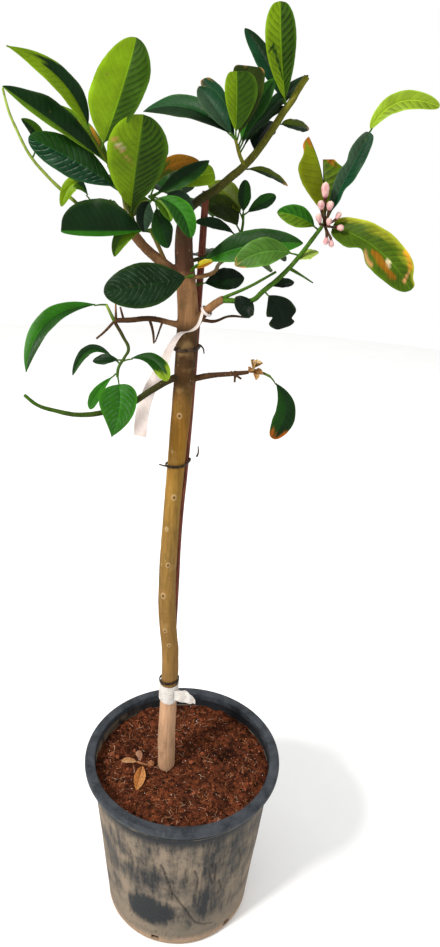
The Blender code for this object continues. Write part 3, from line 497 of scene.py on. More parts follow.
def growLeaf(blank, foot, spec):
    # bends the flat blank into one leaf that starts at foot
    made = copied(blank, "leaf")
    flatPoints = pointsOf(made)
    across, s = flatPoints[:, 0], flatPoints[:, 1]
    across = np.sign(across) * np.abs(across) * (0.45 + 0.55 * np.abs(across))
    s = 0.4 * s + 0.6 * (0.5 - 0.5 * np.cos(math.pi * s))
    half = np.sign(across)
    below = flatPoints[:, 2] < -0.05
    reach = np.array(spec["reach"], float)
    length = np.linalg.norm(reach)
    ahead = reach / length
    face = np.array(spec["face"], float)
    face = unit(face - ahead * face.dot(ahead))
    side = np.cross(ahead, face)
    bend = reach / 2 + face * spec["bow"] * 2 + side * spec["sweep"] * 2
    stalk = min(0.14, 8 / length)

    # the outline, one half at a time
    widest = spec["widest"] + half * spec["slant"] / 2
    rising = np.sin(np.clip(np.pi / 2 * s / widest, 0, np.pi / 2)) ** spec["base"]
    falling = np.sin(np.clip(np.pi / 2 * (1 - s) / (1 - widest), 0, np.pi / 2)) ** spec["tip"]
    spread = np.where(s < widest, rising, falling)
    for bitten, place, size, depth in spec["bites"]:
        spread = spread * (1 - depth * np.exp(-((s - place) / size) ** 2) * (half * bitten > 0))
    rng = np.random.default_rng(int(abs(reach[0] * 7 + reach[1] * 13 + reach[2] * 29)) + 5)
    phase = rng.uniform(0, math.tau, 4)
    teeth = 0.004 * np.sin(math.tau * length / 7.5 * s + phase[0]) * np.clip(np.abs(across) * 2 - 1, 0, 1)
    reachOut = spec["width"] / 2 * (1 + half * spec["lean"]) * (spread + teeth * spread)
    reachOut = np.maximum(reachOut, 0.7)

    # the path of the midrib, and the frame that goes along it
    t = stalk + (1 - stalk) * s
    foot = np.array(foot, float)
    path = foot + np.outer(2 * t * (1 - t), bend) + np.outer(t * t, reach)
    tangent = unit(np.outer(1 - t, bend) + np.outer(t, reach - bend))
    up = unit(face - tangent * (tangent @ face)[:, None])
    sideways = np.cross(tangent, up)

    fold = np.radians(spec["fold"]) * (0.65 + 0.35 * np.cos(math.tau * 0.5 * s))
    fold = fold + rng.uniform(-0.05, 0.09) * np.sin(math.tau * 0.8 * s + phase[1])
    widthHere = 2 * reachOut * np.clip(spread, 0, 1)
    edge = np.abs(across) ** 2.0
    wave = 0.035 * widthHere * np.sin(math.tau * 1.6 * s + spec["width"]) * -half * edge
    ripple = 0.020 * widthHere * np.sin(math.tau * (3.1 + rng.uniform(0, 1.5)) * s + phase[2] * (half > 0)) * edge
    crown = 0.10 * widthHere * (np.abs(across) - np.abs(across) ** 2)

    # swellings between the side veins, a groove over the midrib and a rib under it
    ratio = spec["width"] / 2 / length * leafFinish["veinSlope"]
    veins = length / leafFinish["veinSpacing"] * (s - ratio * np.abs(across) ** 1.25)
    inner = np.clip(np.abs(across) * 5, 0, 1) * np.clip((1 - np.abs(across)) * 4, 0, 1)
    ends = np.clip(s * 8, 0, 1) * np.clip((1 - s) * 7, 0, 1)
    swelling = np.where(half > 0, spec["quilt"][1], spec["quilt"][0]) * 0.8 + 0.4
    quilt = leafFinish["quilt"] * swelling * -np.cos(math.tau * (veins + 0.5)) * inner * ends
    thin = leafFinish["thickness"] / 2 * (1 - 0.45 * np.abs(across))
    groove = leafFinish["groove"] * np.exp(-(across * reachOut / 1.1) ** 2) * np.clip(1.6 - 1.3 * s, 0.1, 1)
    rib = (0.75 - 0.6 * s) * np.exp(-(across * reachOut / 0.9) ** 2) * np.clip(1.1 - s, 0, 1)

    height = wave + ripple + crown + quilt
    height = height + np.where(below, -thin - rib, thin - groove * ends)
    slope = np.abs(across) * reachOut
    points = path + sideways * (half * slope * np.cos(fold))[:, None]
    points = points + up * (slope * np.sin(fold) + height)[:, None]
    movePoints(made, points * mm)

    # tones: a lit half and a shaded half, painted light and shade, other tones towards the ends, and a painted pale
    # sheen in patches
    minusTone, plusTone = (np.array(linear(tones[name])) for name in spec["looks"])
    share = np.clip(across * 8 + 0.5, 0, 1)[:, None]
    colour = minusTone * (1 - share) + plusTone * share
    wander = 0.06 * np.sin(across * 5 + phase[3]) + 0.05 * np.sin(s * 17 + across * 9)
    if spec["far"]:
        share = np.clip((s + wander + 0.12 * edge - spec["farFrom"]) / 0.10, 0, 1)[:, None]
        colour = colour * (1 - share) + np.array(linear(tones[spec["far"]])) * share
    if spec["near"]:
        share = np.clip((spec["nearTo"] - s - wander) / 0.12 + 0.5, 0, 1)[:, None]
        colour = colour * (1 - share) + np.array(linear(tones[spec["near"]])) * share
    if spec["rim"]:
        share = np.clip((-across + wander * 2 - 0.62) / 0.2, 0, 1)[:, None]
        colour = colour * (1 - share) + np.array(linear(tones[spec["rim"]])) * share
    for start, end, markWidth, markTone in spec["marks"]:
        here = np.column_stack([across * spec["width"] / 2, s * length])
        start, end = (np.array(spot) * (spec["width"] / 2, length) for spot in (start, end))
        part = np.clip((here - start) @ (end - start) / (end - start).dot(end - start), 0, 1)
        gap = np.linalg.norm(here - start - part[:, None] * (end - start), axis=1) + 6 * wander
        share = np.clip((markWidth - gap) / 0.9 + 0.6, 0, 1)[:, None]
        colour = colour * (1 - share) + np.array(linear(tones[markTone])) * share
    rim = (0.4 * np.clip(np.abs(across) * 14 - 13, 0, 1))[:, None]
    colour = colour * (1 + rim) + np.array(linear((150, 170, 60))) * rim * 0.12
    share = np.clip(across * 8 + 0.5, 0, 1)
    paintedHollowShade, sheen = (spec[name][0] * (1 - share) + spec[name][1] * share for name in ("quilt", "sheen"))
    writeColours(made, "tone", np.column_stack([colour * brightness, np.ones(len(s))]))
    writeVectors(made, "veining", np.column_stack([np.full(len(s), spec["ribs"]), paintedHollowShade, sheen]))
    writeVectors(made, "span", np.column_stack([across, veins, below.astype(float)]))
    stem = growStem([foot, foot + (path[np.argmin(t)] - foot) * 0.5, path[np.argmin(t)] + ahead * 1.5],
                    (2.0, 1.3), "greenStem", "greenStem")
    return [made, stem]


def tubeCurve(route, radii, sides=3):
    # a round tube on a smooth curve through the route, in millimetres, converted to a mesh
    deselectAll()
    bpy.ops.curve.primitive_bezier_curve_add()
    tube = bpy.context.object
    spline = tube.data.splines[0]
    spline.bezier_points.add(len(route) - 2)
    for knot, place, radius in zip(spline.bezier_points, route, radii):
        knot.handle_left_type = "AUTO"
        knot.handle_right_type = "AUTO"
        knot.co = Vector(place) * mm
        knot.radius = radius
    tube.data.dimensions = "3D"
    tube.data.resolution_u = 5
    tube.data.bevel_depth = mm
    tube.data.bevel_resolution = sides
    tube.data.use_fill_caps = True
    choose(tube)
    bpy.ops.object.convert(target="MESH")
    tube = bpy.context.object
    bpy.ops.object.mode_set(mode="EDIT")
    bpy.ops.mesh.select_all(action="SELECT")
    bpy.ops.mesh.remove_doubles(threshold=1e-6)
    bpy.ops.mesh.normals_make_consistent(inside=False)
    bpy.ops.object.mode_set(mode="OBJECT")
    return tube


def routeShare(points, route):
    # how far along the route each point lies, from 0 to 1
    stops = np.array(route, float) * mm
    steps = np.linalg.norm(np.diff(stops, axis=0), axis=1)
    before = np.concatenate([[0], np.cumsum(steps)])
    best = np.full(len(points), 1e9)
    share = np.zeros(len(points))
    for index, step in enumerate(steps):
        way = stops[index + 1] - stops[index]
        part = np.clip((points - stops[index]) @ way / step ** 2, 0, 1)
        gap = np.linalg.norm(points - stops[index] - part[:, None] * way, axis=1)
        nearer = gap < best
        best = np.where(nearer, gap, best)
        share = np.where(nearer, (before[index] + part * step) / before[-1], share)
    return share


def growStem(route, thick, footTone, endTone, knots=0.0):
    count = len(route)
    steps = np.concatenate([[0], np.cumsum(np.linalg.norm(np.diff(np.array(route, float), axis=0), axis=1))])
    shares = steps / steps[-1]
    radii = [(thick[0] + (thick[1] - thick[0]) * share) / 2 for share in shares]
    stem = tubeCurve(route, radii)
    points = pointsOf(stem)
    share = routeShare(points, route)
    if knots:
        bumps = roughness(points, 7.0, count) * knots + roughness(points, 2.4, count + 9) * knots * 0.4
        movePoints(stem, points + normalsOf(stem) * (bumps * mm)[:, None])
    colours = np.outer(1 - share, linear(tones[footTone])) + np.outer(share, linear(tones[endTone]))
    writeColours(stem, "tone", np.column_stack([colours * brightness, np.ones(len(points))]))
    writeVectors(stem, "span", np.zeros((len(points), 3)))
    stem.data.materials.append(stemMaterial)
    smooth(stem, 60)
    return stem


def alongRoute(route, share):
    stops = np.array(route, float)
    steps = np.linalg.norm(np.diff(stops, axis=0), axis=1)
    before = np.concatenate([[0], np.cumsum(steps)])
    distance = share * before[-1]
    index = min(int(np.searchsorted(before, distance, side="right")) - 1, len(steps) - 1)
    part = (distance - before[index]) / steps[index]
    return stops[index] + (stops[index + 1] - stops[index]) * part


def growShoot(shoot):
    # one stem with its twigs and leaves, joined into one piece that stands for its CAD node
    pieces = [growStem(shoot["route"], shoot["thick"], *shoot["bark"], knots=0.25)]
    for route, thick in shoot.get("twigs", ()):
        pieces.append(growStem(route, thick, shoot["bark"][1], shoot["bark"][1], knots=0.15))
    for spec in shoot["leaves"]:
        pieces += growLeaf(leafBlank, alongRoute(shoot["route"], spec["along"]), spec)
    for spec in shoot.get("twigLeaves", ()):
        pieces += growLeaf(leafBlank, alongRoute(shoot["twigs"][0][0], spec["along"]), spec)
    made = joined(pieces, shoot["node"] + ".fine")
    smooth(made, 60)
    dressed(made, shoot["node"])
    print(shoot["node"], "grown with", len(shoot["leaves"]) + len(shoot.get("twigLeaves", ())), "leaves")


leafBlank = makeLeafBlank()


leftUpper = {
    "node": "shoot_left_upper",
    "route": [(-63, -13, 913), (-69, -20, 935), (-78, -32, 958), (-87, -46, 980), (-96, -54, 995), (-100, -58, 1002)],
    "thick": (4.8, 2.8),
    "bark": ("olive", "olive"),
    "leaves": [
        leaf(0.22, (14, -42, 84), 53, (0.2, -0.9, -0.5), ("lime", "moss"), bow=4, sweep=-2,
             widest=0.66, tip=0.45, ribs=0.6, quilt=(0.45, 1.2), marks=[((-0.8, 0.74), (-0.08, 0.5), 0.7, 'tan'), ((-0.62, 0.7), (-0.52, 0.66), 1.2, 'cream')]),
        leaf(0.84, (32, -19, 85), 44, (-0.1, -1.0, -0.2), ("lime", "moss"), bow=5, sweep=2, fold=10,
             widest=0.56, base=0.80, tip=0.50, lean=-0.12, slant=0.26, ribs=0.5, quilt=(0.25, 0.9)),
        leaf(0.45, (-74, -33, 41), 32, (0.5, -0.8, 0.2), ("bottle", "forest"), bow=4, sweep=1,
             widest=0.56, tip=0.48, ribs=0.5, quilt=(1.1, 0.6), sheen=(0.6, 0.12)),
        leaf(0.72, (-83, -21, 55), 23, (0.5, -0.7, 0.5), ("spring", "pine"), bow=4, sweep=-3, fold=24,
             tip=0.70, lean=0.50, ribs=0.4),
        leaf(0.98, (-61, -27, 61), 22, (0.6, -0.8, 0.2), ("lime", "pine"), bow=4, sweep=12, fold=22,
             widest=0.36, base=0.70, tip=1.00, lean=-0.10, ribs=0.4, far="lime", farFrom=0.66),
        leaf(0.60, (-50, 15, 54), 16, (0.3, -0.8, 0.5), ("spring", "spring"), bow=3, sweep=4, fold=10,
             marks=[((-0.5, 0.55), (-0.1, 0.7), 3.0, 'amber'), ((0.2, 0.3), (0.6, 0.5), 2.5, 'amber')]),
    ],
}
growShoot(leftUpper)

leftLong = {
    "node": "shoot_left_long",
    "route": [(-90, 4, 943), (-117, 14, 935), (-132, 22, 943), (-146, 28, 953), (-158, 33, 963), (-173, 38, 979),
              (-185, 43, 1000), (-193, 47, 1017), (-198, 50, 1036)],
    "thick": (4.0, 2.4),
    "bark": ("olive", "paleLime"),
    "leaves": [
        leaf(0.12, (-30, -3, -2), 14, (0.1, -1.0, 0.3), ("moss", "pine"), bow=3, sweep=20, fold=20,
             tip=0.50, far="lime", farFrom=0.42),
        leaf(0.60, (-7, -7, 34), 13, (0.6, -0.8, -0.1), ("pine", "moss"), bow=3, sweep=10, fold=14),
    ],
}
growShoot(leftLong)

centre = {
    "node": "shoot_centre",
    "route": [(-19, -2, 922), (-25, -11, 931), (-38, -20, 942), (-52, -28, 952)],
    "thick": (4.4, 2.6),
    "bark": ("olive", "grass"),
    "leaves": [
        leaf(0.98, (39, -18, -32), 20, (0.0, -0.9, 0.5), ("grass", "forest"), bow=5, sweep=-10,
             widest=0.55, tip=0.50, quilt=(0.5, 0.7)),
        leaf(0.94, (19, -13, -18), 12, (0.0, -0.8, 0.6), ("spring", "moss"), bow=3, sweep=-3, fold=14,
             widest=0.50),
        leaf(0.90, (-6, -18, -27), 18, (0.5, -0.8, 0.4), ("slate", "night"), bow=3, sweep=6, fold=14,
             widest=0.50, quilt=(0.5, 0.5)),
        leaf(0.86, (-21, 11, -16), 14, (-0.5, -0.9, 0.1), ("olive", "moss"), bow=3, sweep=6, fold=14),
        leaf(0.80, (33, 16, -10), 15, (0.5, -0.8, 0.3), ("slate", "night"), bow=3, sweep=-9,
             quilt=(0.6, 0.6)),
        leaf(0.94, (57, 23, 23), 21, (0.2, -0.9, 0.4), ("moss", "lime"), bow=3, sweep=-3, fold=14,
             widest=0.84, base=1.80, tip=0.35, far="lime", farFrom=0.5),
        leaf(0.98, (53, 10, 33), 17, (-0.1, -0.9, 0.4), ("pine", "forest"), bow=4, sweep=3, fold=14,
             tip=0.70, ribs=0.4),
        leaf(0.84, (13, -6, -40), 21, (0.4, -0.9, 0.3), ("pine", "forest"), bow=3, sweep=3, fold=14),
        leaf(0.96, (43, 19, 32), 15, (0.0, -0.9, 0.5), ("ochre", "ochre"), bow=3, sweep=-12, fold=14,
             widest=0.58, ribs=0.4, near="olive", nearTo=0.45),
    ],
}
growShoot(centre)

leftMiddle = {
    "node": "shoot_left_middle",
    "route": [(-36, -7, 889), (-43, -18, 907), (-51, -24, 923)],
    "thick": (4.8, 3.2),
    "bark": ("barkTan", "olive"),
    "leaves": [
        leaf(0.98, (-77, -34, -1), 33, (0.4, -0.9, 0.3), ("grass", "pine"), bow=4, sweep=-2, fold=16,
             widest=0.56, tip=0.36, lean=0.74, ribs=0.35, quilt=(0.3, 0.3)),
        leaf(0.90, (-33, -17, -21), 15, (0.2, -0.9, 0.4), ("spring", "moss"), bow=3, sweep=11, fold=18),
    ],
}
growShoot(leftMiddle)

frontLeaf = {
    "node": "leaf_front",
    "route": [(-15, -4, 877), (-9, -18, 881)],
    "thick": (3.6, 2.8),
    "bark": ("olive", "grass"),
    "leaves": [
        leaf(0.98, (-83, -26, -15), 42, (0.2, -0.9, 0.3), ("pine", "pine"), bow=5, sweep=-1, fold=8,
             tip=0.50, ribs=0.5, quilt=(0.4, 0.4), sheen=(0.12, 0.2)),
    ],
}
growShoot(frontLeaf)

rightMain = {
    "node": "shoot_right_main",
    "route": [(-16, 0, 940), (-4, 4, 950), (9, 6, 958), (22, 9, 969), (36, 12, 981), (48, 15, 995),
              (60, 18, 1013), (68, 20, 1026), (77, 22, 1039), (83, 24, 1050), (89, 25, 1059)],
    "thick": (8.4, 5.8),
    "bark": ("darkStem", "oliveStem"),
    "leaves": [
        leaf(0.80, (-14, -15, 83), 28, (0.0, -1.0, -0.2), ("lime", "moss"), bow=4, sweep=-2, fold=14,
             widest=0.66, tip=0.36, ribs=0.8, quilt=(0.8, 1.3), marks=[((-0.85, 0.52), (-0.5, 0.58), 0.8, 'night'), ((-0.5, 0.58), (-0.05, 0.22), 0.8, 'forest')]),
        leaf(0.80, (-42, 23, 65), 19, (0.1, -0.9, 0.4), ("bottle", "pine"), bow=3, sweep=2, fold=14,
             tip=0.60),
        leaf(0.48, (20, 28, 31), 25, (-0.1, -0.7, 0.7), ("night", "night"), bow=4, sweep=-3, fold=14,
             tip=0.70),
        leaf(0.70, (34, 21, -2), 13, (0.4, -0.7, 0.6), ("olive", "pine"), bow=3, sweep=1, fold=14,
             base=0.50, far="tan", farFrom=0.9),
        leaf(0.38, (49, 25, -14), 11, (0.5, -0.6, 0.6), ("olive", "pine"), bow=3, sweep=-4, fold=14,
             far="tan", farFrom=0.9),
    ],
    "twigs": [
        ([(36, 12, 980), (31, 4, 988), (25, -8, 1003)], (4.0, 2.8)),
    ],
    "twigLeaves": [
        leaf(0.98, (-3, -12, 55), 29, (0.1, -1.0, -0.2), ("lime", "moss"), bow=3, fold=14, widest=0.70,
             tip=0.22, lean=0.27, ribs=0.5, quilt=(0.5, 0.7)),
        leaf(0.90, (8, 8, 63), 30, (0.2, -1.0, 0.1), ("darkOlive", "darkOlive"), bow=3, sweep=2,
             widest=0.88, tip=0.16, far="tan", farFrom=1.06),
        leaf(0.94, (-36, 25, 44), 21, (0.0, -0.9, 0.5), ("slate", "bottle"), bow=4, fold=14,
             widest=0.60, tip=0.60, far="tan", farFrom=1.06),
        leaf(0.80, (-33, 38, 55), 17, (0.0, -0.8, 0.6), ("slate", "bottle"), bow=4, sweep=2, fold=14,
             widest=0.70, tip=0.30, far="tan", farFrom=1.02),
        leaf(0.70, (31, 16, 60), 21, (-0.3, -0.9, 0.4), ("grass", "forest"), bow=4, sweep=-2, fold=14,
             tip=0.70),
        leaf(0.60, (43, 30, 40), 16, (-0.2, -0.7, 0.7), ("pine", "pine"), bow=3, sweep=-7, fold=14),
        leaf(0.50, (63, 48, 71), 15, (-0.3, -0.7, 0.7), ("pine", "pine"), bow=4, sweep=-4, fold=14,
             widest=0.70),
        leaf(0.98, (-88, 48, 20), 23, (-0.3, -0.8, 0.5), ("pine", "spruce"), bow=8, sweep=12, fold=16,
             widest=0.50, tip=0.80, near="night", nearTo=0.3),
    ],
}
growShoot(rightMain)

rightCentre = {
    "node": "shoot_right_centre",
    "route": [(-14, -1, 891), (2, 5, 896), (18, 16, 902), (34, 24, 911), (38, 26, 924), (38, 27, 936)],
    "thick": (4.0, 2.6),
    "bark": ("darkStem", "greenStem"),
    "leaves": [
        leaf(0.72, (-44, -22, 15), 12, (0.5, -0.7, 0.5), ("pine", "pine"), bow=3, sweep=4, fold=14),
        leaf(0.78, (-38, 5, 28), 28, (0.3, -0.8, 0.5), ("darkOlive", "darkOlive"), bow=3, sweep=6,
             fold=14, ribs=0.4),
        leaf(0.93, (-36, 25, 30), 24, (-0.1, -0.8, 0.6), ("olive", "olive"), bow=3, sweep=6, fold=14,
             ribs=0.5),
        leaf(0.97, (0, -3, 34), 14, (0.3, -1.0, -0.1), ("pine", "forest"), bow=2, sweep=-1, fold=16,
             tip=0.45),
        leaf(0.98, (31, 3, 20), 14, (-0.2, -0.9, 0.4), ("forest", "pine"), bow=2, fold=16, widest=0.60,
             tip=0.45),
    ],
}
growShoot(rightCentre)

bigRightLeaves = {
    "node": "leaf_right_big",
    "route": [(-14, -3, 880), (-6, -12, 890)],
    "thick": (3.6, 2.8),
    "bark": ("olive", "grass"),
    "leaves": [
        leaf(0.98, (98, -26, 29), 30, (-0.3, -0.8, 0.4), ("forest", "grass"), bow=6, sweep=-6,
             tip=0.70, quilt=(0.5, 0.4)),
        leaf(0.50, (20, -13, 11), 8, (-0.6, -0.7, 0.4), ("yellow", "ochre"), bow=2, fold=20, ribs=0.4),
    ],
}
growShoot(bigRightLeaves)

darkRightLeaf = {
    "node": "leaf_right_dark",
    "route": [(-13, 3, 867), (-4, 8, 868)],
    "thick": (3.6, 2.8),
    "bark": ("olive", "grass"),
    "leaves": [
        leaf(0.98, (47, 16, 6), 24, (0.2, -0.8, 0.5), ("night", "pine"), bow=3),
    ],
}
growShoot(darkRightLeaf)

flowerShoot = {
    "node": "shoot_flower",
    "route": [(19, -15, 858), (28, -19, 859), (49, -28, 862), (58, -34, 872), (73, -42, 888), (89, -50, 910),
              (95, -53, 920), (102, -57, 932), (107, -60, 941)],
    "thick": (5.6, 3.6),
    "bark": ("greenStem", "greenStem"),
    "leaves": [
        leaf(0.72, (-59, -4, -11), 26, (0.0, -0.9, 0.4), ("sage", "sage"), bow=5, sweep=7, fold=10,
             widest=0.50, tip=0.60, ribs=1.0, quilt=(0.5, 0.5), far="tan", farFrom=0.95),
        leaf(0.66, (22, -1, 10), 15, (-0.4, -0.4, 0.8), ("paleLime", "paleLime"), bow=2, fold=14,
             ribs=0.3),
        leaf(0.36, (23, 1, -35), 31, (0.2, -1.0, 0.1), ("night", "night"), bow=4, sweep=-3,
             widest=0.60, tip=0.35, bites=[(1, 0.55, 0.08, 0.4), (-1, 0.8, 0.07, 0.35)]),
        leaf(0.40, (26, 12, 4), 11, (0.2, -0.7, 0.7), ("pine", "night"), bow=2, fold=14),
        leaf(0.26, (-13, -1, -15), 26, (-0.4, -0.9, 0.4), ("night", "night"), bow=3, fold=14,
             base=0.60, tip=0.50),
        leaf(0.93, (-39, -3, 14), 19, (0.1, -1.0, 0.2), ("spring", "grass"), bow=4, sweep=3, fold=20,
             tip=0.60, quilt=(0.9, 0.9)),
        leaf(0.98, (-20, 5, 70), 20, (0.0, -1.0, 0.1), ("mustard", "moss"), bow=4, sweep=5, fold=14,
             widest=0.60, tip=0.55, lean=-0.94, quilt=(0.3, 0.3), far="rust", farFrom=0.93, bites=[(-1, 0.86, 0.1, 0.35)]),
        leaf(0.98, (-5, 5, 53), 24, (0.0, -1.0, 0.1), ("moss", "mossGold"), bow=3, fold=14,
             widest=0.86, base=1.10, tip=0.14, lean=0.94, ribs=0.5, quilt=(1.1, 1.2), far="rust", farFrom=0.98, bites=[(1, 0.97, 0.16, 0.5)]),
        leaf(0.98, (29, -15, 76), 18, (-0.5, -0.8, 0.0), ("slate", "bottle"), bow=3, fold=18,
             widest=0.60, tip=0.30, ribs=0.5, quilt=(0.6, 0.6), bites=[(1, 0.35, 0.1, 0.4), (-1, 0.62, 0.08, 0.3)]),
        leaf(0.98, (78, -33, -48), 35, (-0.1, -0.9, 0.4), ("mossLight", "mossLight"), bow=6, sweep=-9,
             fold=10, widest=0.60, base=0.30, tip=0.42, ribs=0.6, quilt=(0.7, 0.5), rim="chartreuse", bites=[(1, 0.36, 0.1, 0.5), (-1, 0.93, 0.06, 0.35)], marks=[((0.1, 0.66), (0.5, 0.74), 1.6, 'cream'), ((-0.5, 0.86), (0.1, 0.9), 1.4, 'tan'), ((0.75, 0.42), (0.8, 0.56), 2.2, 'tan'), ((-0.9, 0.7), (-0.7, 0.84), 2.4, 'amber'), ((0.3, 0.5), (0.5, 0.8), 3.0, 'ochre')]),
    ],
    "twigs": [
        ([(107, -60, 941), (124, -66, 987), (132, -73, 1010)], (2.6, 2.2)),
        ([(22, -16, 861), (46, -22, 874), (60, -24, 883), (70, -27, 890)], (3.6, 2.4)),
        ([(80, -44, 897), (93, -40, 890), (105, -36, 883)], (3.6, 1.2)),
    ],
    "twigLeaves": [
        leaf(0.96, (55, -12, 29), 16, (-0.4, -0.9, 0.3), ("springLight", "springLight"), bow=3,
             sweep=-17, fold=16, widest=0.55, base=0.50, tip=0.42, ribs=0.5, quilt=(0.3, 0.8)),
    ],
}
growShoot(flowerShoot)

archedLeaf = {
    "node": "leaf_left_arch",
    "route": [(-85, -24, 835), (-92, -27, 851)],
    "thick": (3.6, 2.8),
    "bark": ("greenStem", "paleLime"),
    "leaves": [
        leaf(0.98, (-72, -39, -59), 20, (-0.1, -0.8, 0.6), ("forest", "grass"), bow=6, sweep=23,
             fold=16, tip=0.80),
    ],
}
growShoot(archedLeaf)

lowLeft = {
    "node": "shoot_low_left",
    "route": [(-84, -24, 833), (-75, -28, 819), (-70, -31, 809), (-74, -36, 801), (-79, -40, 792), (-80, -42, 783)],
    "thick": (3.6, 2.8),
    "bark": ("barkDark", "greenStem"),
    "leaves": [
        leaf(0.98, (-4, -20, -57), 39, (0.2, -0.9, 0.3), ("grass", "grass"), bow=4, sweep=-5,
             widest=0.24, base=0.40, tip=0.95, lean=0.15, sheen=(0.3, 0.3), quilt=(0.4, 0.4)),
        leaf(0.72, (45, -17, -13), 17, (0.0, -0.6, 0.8), ("forest", "forest"), bow=4, sweep=-13,
             fold=18, widest=0.70, tip=0.50, far="springLight", farFrom=0.8),
        leaf(0.78, (-46, -7, -11), 11, (-0.1, -0.7, 0.7), ("forest", "pine"), bow=3, sweep=22, fold=20),
        leaf(0.70, (-30, 3, -3), 12, (-0.1, -0.7, 0.7), ("pine", "pine"), bow=2, fold=20),
        leaf(0.92, (-30, 9, -43), 12, (-0.4, -0.9, 0.1), ("grass", "grass"), bow=3, sweep=3, fold=16,
             widest=0.70, tip=0.50),
    ],
}
growShoot(lowLeft)

lowTwig = {
    "node": "twig_low_left",
    "route": [(-16, -2, 775), (-27, -8, 773), (-49, -22, 763), (-70, -36, 752), (-94, -50, 748), (-117, -62, 749),
              (-137, -72, 756), (-152, -78, 763), (-163, -82, 774)],
    "thick": (8.0, 3.2),
    "bark": ("barkDark", "greenStem"),
    "leaves": [
    ],
}
growShoot(lowTwig)

lowRightLeaf = {
    "node": "leaf_low_right",
    "route": [(55, 18, 777), (68, 18, 776), (77, 16, 773)],
    "thick": (3.2, 2.8),
    "bark": ("barkTan", "greenStem"),
    "leaves": [
        leaf(0.98, (7, -8, -68), 25, (0.2, -1.0, 0.1), ("pine", "forest"), bow=4, sweep=-15, fold=18,
             widest=0.62, tip=0.40, quilt=(0.5, 0.5), far="rust", farFrom=0.9),
    ],
}
growShoot(lowRightLeaf)

# the back shoots' leaves take dark greens, painted shade inside the crown
backLeft = {
    "node": "shoot_back_left",
    "route": [(-66, -4, 910), (-72, 14, 920), (-80, 40, 932), (-86, 66, 946)],
    "thick": (4.2, 2.6),
    "bark": ("barkTan", "greenStem"),
    "leaves": [
        leaf(0.55, (-52, 34, -6), 32, (-0.2, 0.1, 1.0), ("pine", "forest"), bow=8, fold=14),
        leaf(0.75, (30, 30, 24), 32, (0.0, -0.3, 1.0), ("forest", "moss"), bow=6, fold=14),
        leaf(0.90, (-40, 60, 14), 36, (0.1, -0.2, 1.0), ("forest", "pine"), bow=8, fold=12),
        leaf(0.98, (-4, 74, 32), 36, (0.0, -0.5, 0.9), ("moss", "pine"), bow=6, fold=12),
    ],
}
growShoot(backLeft)

backMiddle = {
    "node": "shoot_back_middle",
    "route": [(-20, 3, 926), (-26, 30, 938), (-32, 56, 946), (-36, 84, 950)],
    "thick": (4.6, 2.6),
    "bark": ("barkTan", "greenStem"),
    "leaves": [
        leaf(0.50, (-50, 30, 26), 34, (0.2, -0.4, 0.9), ("pine", "forest"), bow=6, fold=14),
        leaf(0.66, (40, 48, -22), 30, (-0.2, -0.4, 0.9), ("forest", "moss"), bow=6, fold=14),
        leaf(0.86, (-12, 60, 20), 34, (0.1, -0.4, 0.9), ("forest", "pine"), bow=8, fold=12),
        leaf(0.98, (10, 72, -8), 38, (-0.1, -0.3, 1.0), ("moss", "pine"), bow=10, fold=12),
    ],
}
growShoot(backMiddle)

backRight = {
    "node": "shoot_back_right",
    "route": [(-12, -3, 876), (8, 2, 880), (17, 30, 886), (30, 62, 888), (42, 84, 886)],
    "thick": (4.6, 2.6),
    "bark": ("barkTan", "greenStem"),
    "leaves": [
        leaf(0.50, (-36, 50, -4), 34, (0.1, -0.4, 0.9), ("pine", "forest"), bow=6, fold=14),
        leaf(0.66, (50, 44, -18), 32, (-0.2, -0.3, 1.0), ("forest", "moss"), bow=8, fold=12),
        leaf(0.86, (-4, 70, -14), 38, (0.1, -0.3, 1.0), ("forest", "pine"), bow=8, fold=12),
        leaf(0.98, (52, 50, -10), 36, (-0.1, -0.3, 1.0), ("moss", "pine"), bow=10, fold=12),
    ],
}
growShoot(backRight)

bpy.data.objects.remove(leafBlank)


